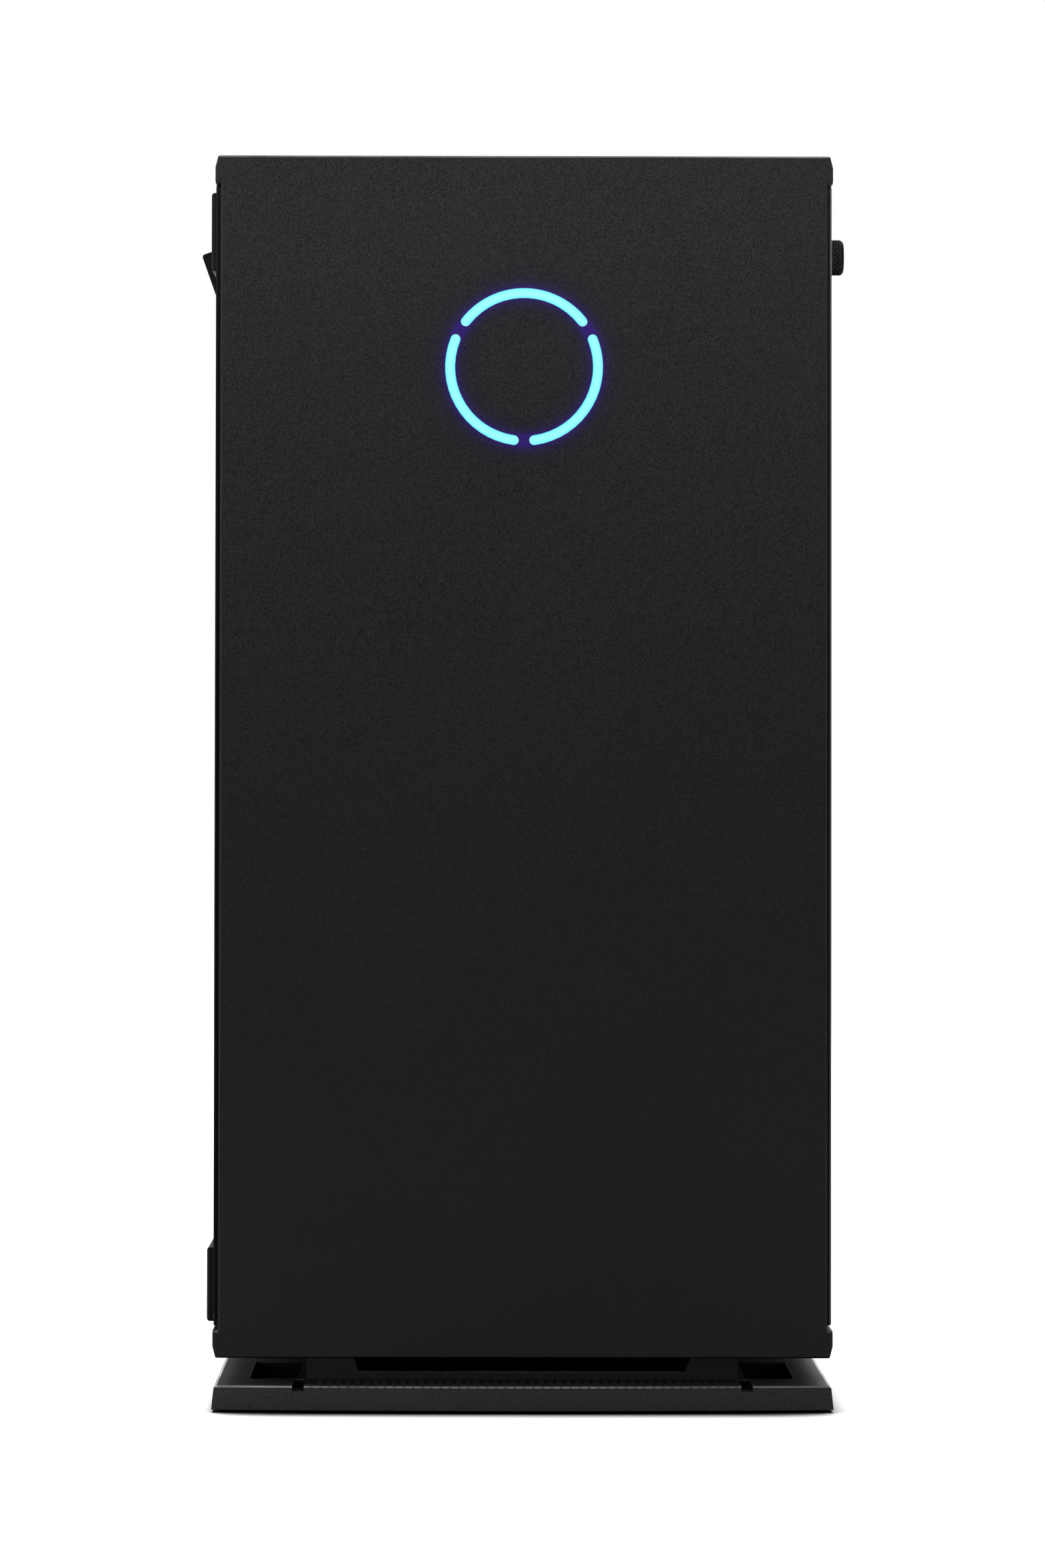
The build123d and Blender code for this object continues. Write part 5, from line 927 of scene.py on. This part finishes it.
# %% Sockets, battery and scattered parts
socket_wall, socket_depth = 1.2, 11.0
data_spots = grid((239,), (-182, -200))
data_socket = joined(copies(brick(9, socket_wall, socket_depth), grid((0,), (8, 0, -8))),
                     copies(brick(socket_wall, 17.2, socket_depth), grid((-4, 4), (0,))),
                     copies(brick(1.2, 5, socket_depth - 2), grid((0,), (4, -4))))
feed_socket = joined(copies(brick(18, 1.2, 12), grid((0,), (4.6, 0, -4.6))),
                     copies(brick(1.0, 10, 12), grid((-8.5, -4.3, 0, 4.3, 8.5), (0,))), brick(16, 8, 3))
battery = turned([(10.4, 0), (10.4, 2.4), (10.0, 2.6), (10.0, 4.4), (9.5, 4.7), (0.05, 4.7)], 48)
add_piece("board_sockets", "moulded_black",
          on_board(copies(data_socket, data_spots), copies(feed_socket, [(30, -9, 0)])))
add_piece("board_battery", "port_steel", on_board(copies(battery, [(200, -152, 0)])))

rng = np.random.default_rng(12)
speck_count = 420
speck_spots = np.stack([rng.uniform(6, 236, speck_count), -rng.uniform(14, 230, speck_count),
                        np.zeros(speck_count)], -1)
upright = rng.random(speck_count) < 0.5
add_piece("board_specks", "contact_gold",
          on_board(copies(brick(1.7, 0.9, 0.6), speck_spots[upright]),
                   copies(brick(0.9, 1.7, 0.6), speck_spots[~upright])))
print("board parts, faces:", {name: faces for name, faces in made.items() if name.startswith("board_")})

# %% [markdown]
# ## Memory modules
# A module is a thin board between two folded heat spreaders whose top edge is cut into
# a comb. A plain block would hide the gap, so the board and both spreaders are separate
# plates, each one outline carried through its thickness.

# %% Memory with comb spreaders
memory_low, memory_high, memory_middle = box_mm("memory_modules")
module_thickness, tooth_pitch, tooth_depth = 6.0, 9.5, 2.6
tooth_edges = np.arange(memory_low[2] + tooth_pitch, memory_high[2] - 1, tooth_pitch / 2)
tooth_x = memory_low[0] + np.where(np.arange(len(tooth_edges)) % 2 == 0, 0.0, tooth_depth)
comb = np.concatenate([
    [(memory_high[0], memory_low[2]), (memory_low[0] + 5, memory_low[2]), (memory_low[0], memory_low[2] + 6)],
    np.stack([np.repeat(tooth_x, 2)[:-1], np.repeat(tooth_edges, 2)[1:]], -1),
    [(memory_low[0] + 5, memory_high[2]), (memory_high[0], memory_high[2])]])
comb = comb[np.concatenate([[True], np.any(np.diff(comb, axis=0) != 0, axis=1)])]


def plate(outline, near, far):
    """One outline in (right, up) carried straight from out = near to out = far."""
    ones = np.ones((2, 1))
    return stack(outline, np.concatenate([ones, ones, [[near], [far]]], 1))


module_size = memory_high - memory_low
card = copies(brick(module_size[0] - 4, module_size[2], 1.4),
              [(memory_middle[0] + 2, memory_middle[2], -0.7)])
spreaders, cards = [], []
for middle_y in (memory_low[1] + module_thickness / 2, memory_high[1] - module_thickness / 2):
    spreaders += [placed(plate(comb, near, near + 2.1), "front", (0, middle_y, 0)) for near in (-2.9, 0.8)]
    cards.append(placed(card, "front", (0, middle_y, 0)))
add_piece("memory_spreaders", "dark_metal", joined(*spreaders), replaced=["memory_modules"])
add_piece("memory_cards", "solder_mask", joined(*cards))

# %% [markdown]
# ## Cooler, card and cover details
# Behind the glass the larger blocks show how they were made: copper pipes end in small
# domes on the cooler, a stamped plate with vents backs the graphics card, fins cool the
# storage stick, latches hold the memory, pressed louvres vent the power cover, and a
# rubber lip guards the slot where the wires come through. Each is one small shape from
# the helpers above, copied along a row, so a row stays a list of places.

# %% Cooler pipes and storage fins
pipe_end = turned([(3.0, -1), (3.0, 2.0), (2.7, 2.9), (1.6, 3.6), (0.02, 3.9)], 20)
add_piece("cooler_pipes", "pipe_copper",
          on_left("cpu_heatsink", copies(pipe_end, grid((-14, 14), (-34, -11, 11, 34)))))
add_piece("storage_fins", "dark_metal",
          on_left("storage_stick", copies(brick(1.2, 20, 1.8, 0.2), grid(np.arange(-36, 37, 4.0), (0,)))))
slot_low, slot_high, _ = box_mm("memory_slots")
latch_rows = np.linspace(slot_high[1] - 3.3, slot_low[1] + 3.3, 4)
add_piece("memory_latches", "mark_white",
          joined(*[placed(brick(5.4, 5.0, 3.6, 0.7), "left", (slot_low[0], y, z))
                   for y in latch_rows for z in (slot_low[2] + 2.5, slot_high[2] - 2.5)]))

# %% Card plate, card trim and feed socket
_, backing_high, backing_middle = box_mm("card_board")
plate_place = (backing_middle[0] - 10, backing_middle[1] - 8, backing_high[2])
plate_screws = grid((-38, 38), (-92, -30, 30, 92), 0.9)
small_screw = (screw[0] * 0.55, screw[1])
add_piece("card_plate", "dark_metal", placed(brick(90, 200, 0.9, 0.3), "top", plate_place))
vent_spots = grid((-18, 18), np.arange(46, 86, 5.0), 0.88)
add_piece("card_vents", "chip_black", placed(copies(brick(34, 2.2, 0.12), vent_spots), "top", plate_place))
add_piece("card_screws", "port_steel", placed(copies(small_screw, plate_screws), "top", plate_place))
slash = np.array([(2.6, 6.0), (0.2, 6.0), (-2.6, -6.0), (-0.2, -6.0)])
slashes = copies(plate(slash, 0, 0.8), grid(np.arange(-84, 85, 8.0), (-7,)))
trim_bars = copies(brick(196, 1.2, 0.8, 0.2), grid((0,), (1.5, -15.5)))
add_piece("card_trim", "dark_metal", on_left("card_shroud", joined(slashes, trim_bars)))
add_piece("card_feed", "moulded_black", placed(feed_socket, "left", (-38.0, -18.0, backing_high[2] + 5.2)))

# %% Cover louvres and cable lip
cover_left = box_mm("psu_shroud")[0][0]
louvre = stack(square, [(1.2, 12, 0), (1.2, 12, 0.3), (0.3, 11.2, 1.3)])
add_piece("cover_louvres", "inner_paint",
          placed(copies(louvre, grid(np.arange(-56, 57, 4.0), (0,))), "left", (cover_left, -86.0, 82.0)))
slot_length, slot_width, lip_bulge = 70.0, 18.0, 1.8
half_turn = np.linspace(0, TURN / 2, 17)


def slot_loop(grow):
    """Outline of a round-ended slot made larger by grow: two half circles on the slot's ends."""
    arc = (slot_width / 2 + grow) * spokes(half_turn)
    end = (0, (slot_length - slot_width) / 2)
    return np.concatenate([arc + end, -arc - end])


lip_turn = np.arange(10) * TURN / 10
lip = tube([(slot_loop(lip_bulge * np.cos(turn)), lip_bulge * np.sin(turn)) for turn in lip_turn])
tray_face = box_mm("motherboard_tray")[0][0]
add_piece("cable_lip", "pad_rubber", placed(lip, "left", (tray_face, -84.0, 281.0)))
inside = ("cooler_pipes", "storage_fins", "memory_latches", "card_plate", "card_trim", "cover_louvres",
          "cable_lip")
print("inside details, faces:", {name: made[name] for name in inside})

# %% [markdown]
# ## Main power wires
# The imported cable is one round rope. The real one is a bundle of separate sleeved wires
# that turn together, and each wire is a smooth curve that runs inside its own chain of
# corner points. At a right-angled corner a wire's place is the corner plus its offset in
# both directions, which keeps the wires side by side round every bend.

# %% Wire bundle
wire_radius, wire_pitch = 0.86, 1.76
supply_front = 39.8
route = np.array([(43.1, supply_front, 69.0), (43.1, 9.8, 69.0), (85.0, 9.8, 69.0), (85.0, 9.8, 281.0),
                  (85.0, -84.0, 281.0), (16.4, -84.0, 281.0), (16.4, -58.0, 281.0), (46.4, -58.0, 281.0)])
run = np.diff(route, axis=0)
run = run / np.linalg.norm(run, axis=1, keepdims=True)
hexagon = circle(6)
wire_offsets = np.concatenate([[(0, 0)], hexagon, 2 * hexagon, hexagon + np.roll(hexagon, 1, axis=0)])
wire_offsets *= wire_pitch
corner_ease = 13.2            # a wire starts to turn this far from a corner


def carried(offset, before, after):
    """The offset after a square corner: its part along the new run swings to against the old run."""
    return offset - np.dot(offset, after) * (after + before) if abs(np.dot(before, after)) < 0.5 else offset


wires = bpy.data.curves.new("power_wires", "CURVE")
wires.dimensions = "3D"
wires.bevel_depth = wire_radius * MM
wires.bevel_resolution = 2
wires.resolution_u = 6
wires.use_fill_caps = True
ease = corner_ease * run
for across, up in wire_offsets:
    offset = np.array([across, 0.0, up])
    corners = [route[0] + offset]
    for before, after, corner in zip(run[:-1], run[1:], route[1:-1]):
        turned_offset = carried(offset, before, after)
        corners.append(corner + offset + turned_offset - (offset - np.dot(offset, after) * after))
        offset = turned_offset
    corners.append(route[-1] + offset)
    corners = np.array(corners)
    turns = [(corner - before, corner, corner + after)
             for corner, before, after in zip(corners[1:-1], ease[:-1], ease[1:])]
    knots = np.concatenate([corners[:1], *turns, corners[-1:]])
    spline = wires.splines.new("NURBS")
    spline.points.add(len(knots) - 1)
    spline.points.foreach_set("co", np.concatenate([knots * MM, np.ones((len(knots), 1))], 1).ravel())
    spline.order_u = 3
    spline.use_endpoint_u = True
wires.materials.append(finishes["cable_sleeve"])
bundle = put("power_wires", wires)
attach(bundle, "chassis")
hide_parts("board_power_cable")

# %% Board plug
plug_origin = (60.4, -58.0, 281.0)
plug_holes = grid((-2.3, 2.3), np.arange(-23.1, 24, 4.2), 13.2)
add_piece("board_plug", "moulded_black",
          placed(joined(brick(10, 52, 13.2, 0.4), copies(brick(3.4, 3.4, 0.7, 0.3), plug_holes),
                        copies(brick(1.6, 9, 12, 0.5), [(-5.4, 0, 0)])), "left", plug_origin))
print("wires:", len(wire_offsets))

# %% [markdown]
# ## Ports, marks and the printed glass border
# Sockets are told apart by the colour of the plastic inside them, a button by its mark,
# and a glass panel by the black print round its edge that hides the frame behind it.
# The supply's switch carries a bar and a ring for on and off. These are thin pieces laid
# just off the surface, so that they show from every side.

# %% Port inserts
port_face = box_mm("rear_ports")[1][1]
port_stacks = ((16.0, 17.0, 2), (22.0, 24.0, 2), (16.0, 30.0, 3), (17.0, 30.0, 2), (16.0, 17.0, 2))
jack_width, jack_height, opening = 14.0, 34.0, 158.75
opening_top = board_high[2] - 4.0
stack_widths = [stack_width for stack_width, _, _ in port_stacks] + [jack_width]
stack_gap = (opening - sum(stack_widths)) / (len(stack_widths) + 1)
inserts = {"port_blue": [], "moulded_black": []}
for number, (stack_width, stack_height, mouths) in enumerate(port_stacks):
    drop = sum(stack_widths[:number]) + (number + 1) * stack_gap + stack_width / 2
    for level in range(mouths):
        step = stack_height / mouths
        place = (board_face - step * (level + 0.5), port_face - 8.4, opening_top - drop)
        tongue = placed(brick(step * 0.2, stack_width * 0.56, 6.2, 0.2), "rear", place)
        inserts["port_blue" if number in (0, 2) else "moulded_black"].append(tongue)
for finish, tongues in inserts.items():
    add_piece("tongues_" + finish, finish, joined(*tongues))
jack_drop = sum(stack_widths[:-1]) + len(stack_widths) * stack_gap + jack_width / 2
jack_profile = ((1.85, -0.4), (3.6, -0.4), (3.6, 0.35), (3.3, 0.6), (2.1, 0.6), (1.85, 0.35))
jack_ring = tube([(radius * circle(36), out) for radius, out in jack_profile])
for number, finish in enumerate(("port_blue", "port_green", "port_pink")):
    place = (board_face - jack_height * (number + 0.5) / 3, port_face, opening_top - jack_drop)
    add_piece("jack_" + finish, finish, placed(jack_ring, "rear", place))

# %% Button and switch marks
def arc_band(radius, width, start, stop, height):
    """Flat band bent along an arc: a rectangle section carried from angle start to stop."""
    angle = np.radians(np.linspace(start, stop, 40))[:, None]
    reach = radius + width * np.array([-0.5, 0.5, 0.5, -0.5])[None]
    return loft(polar(reach, angle, height * np.array([0, 0, 1, 1])))


button_high, button_middle = box_mm("power_button")[1:]
power_mark = joined(arc_band(2.6, 0.6, 130, 410, 0.08), copies(brick(0.6, 2.6, 0.08), [(0, 2.2, 0)]))
add_piece("power_mark", "mark_white", placed(power_mark, "top", (*button_middle[:2], button_high[2] - 0.03)),
          "power_key")

face_lean = math.radians(15.5)        # each half of the key leans out towards its end
face_reach, face_rise = 3.75, 2.7     # middle of a half, from the pivot
rocker_pivot = joint_mm("mains_rocker_pivot")
rocker_pivot[0] = box_mm("psu_rocker_switch")[2][0]
switch_marks = []
for end, mark in ((1, brick(0.5, 2.4, 0.08)), (-1, arc_band(1.1, 0.45, 0, 360, 0.08))):
    views["rocker"] = ((-1, 0, 0), (0, end * math.sin(face_lean), math.cos(face_lean)))
    switch_marks.append(placed(mark, "rocker", rocker_pivot + (0, face_reach - 0.02, end * face_rise)))
add_piece("switch_marks", "mark_white", joined(*switch_marks), "mains_rocker")

# %% Printed glass border
pane_low, pane_high, pane_middle = box_mm("glass_pane")
pane_half = (pane_high - pane_low) / 2
pane_depth = pane_high[0] - pane_low[0]
print_width, print_round = 15.0, 10.0
corner_arc = spokes(np.radians(np.linspace(0, 90, 10)))
quarter = [corner_arc, corner_arc[:, ::-1] * (-1, 1), -corner_arc, corner_arc[:, ::-1] * (1, -1)]


def frame_loop(inset, round_off):
    """Rounded rectangle inside the pane's edge by inset: an arc about each of four inner corners."""
    inner = pane_half[1:] - inset - round_off
    return np.concatenate([sign * inner + round_off * arc for sign, arc in zip(square, quarter)])


edge_section = ((print_width, print_round, -0.02), (print_width, print_round, -0.14), (-0.15, 2.15, -0.14),
                (-0.15, 2.15, pane_depth - 0.3), (0.3, 1.8, pane_depth + 0.1), (0.9, 1.3, pane_depth + 0.1),
                (0.9, 1.3, pane_depth + 0.02), (0.33, 1.7, pane_depth + 0.02),
                (-0.04, 2.04, pane_depth - 0.35), (-0.04, 2.04, -0.02))
border = tube([(frame_loop(inset, round_off), out) for inset, round_off, out in edge_section])
add_piece("glass_print", "printed_black",
          placed(border, "left", (pane_high[0], *pane_middle[1:])), "glass_panel")
thin = ("tongues", "jack", "power_mark", "switch_marks", "glass_print")
print("thin pieces:", [name for name in made if name.startswith(thin)])
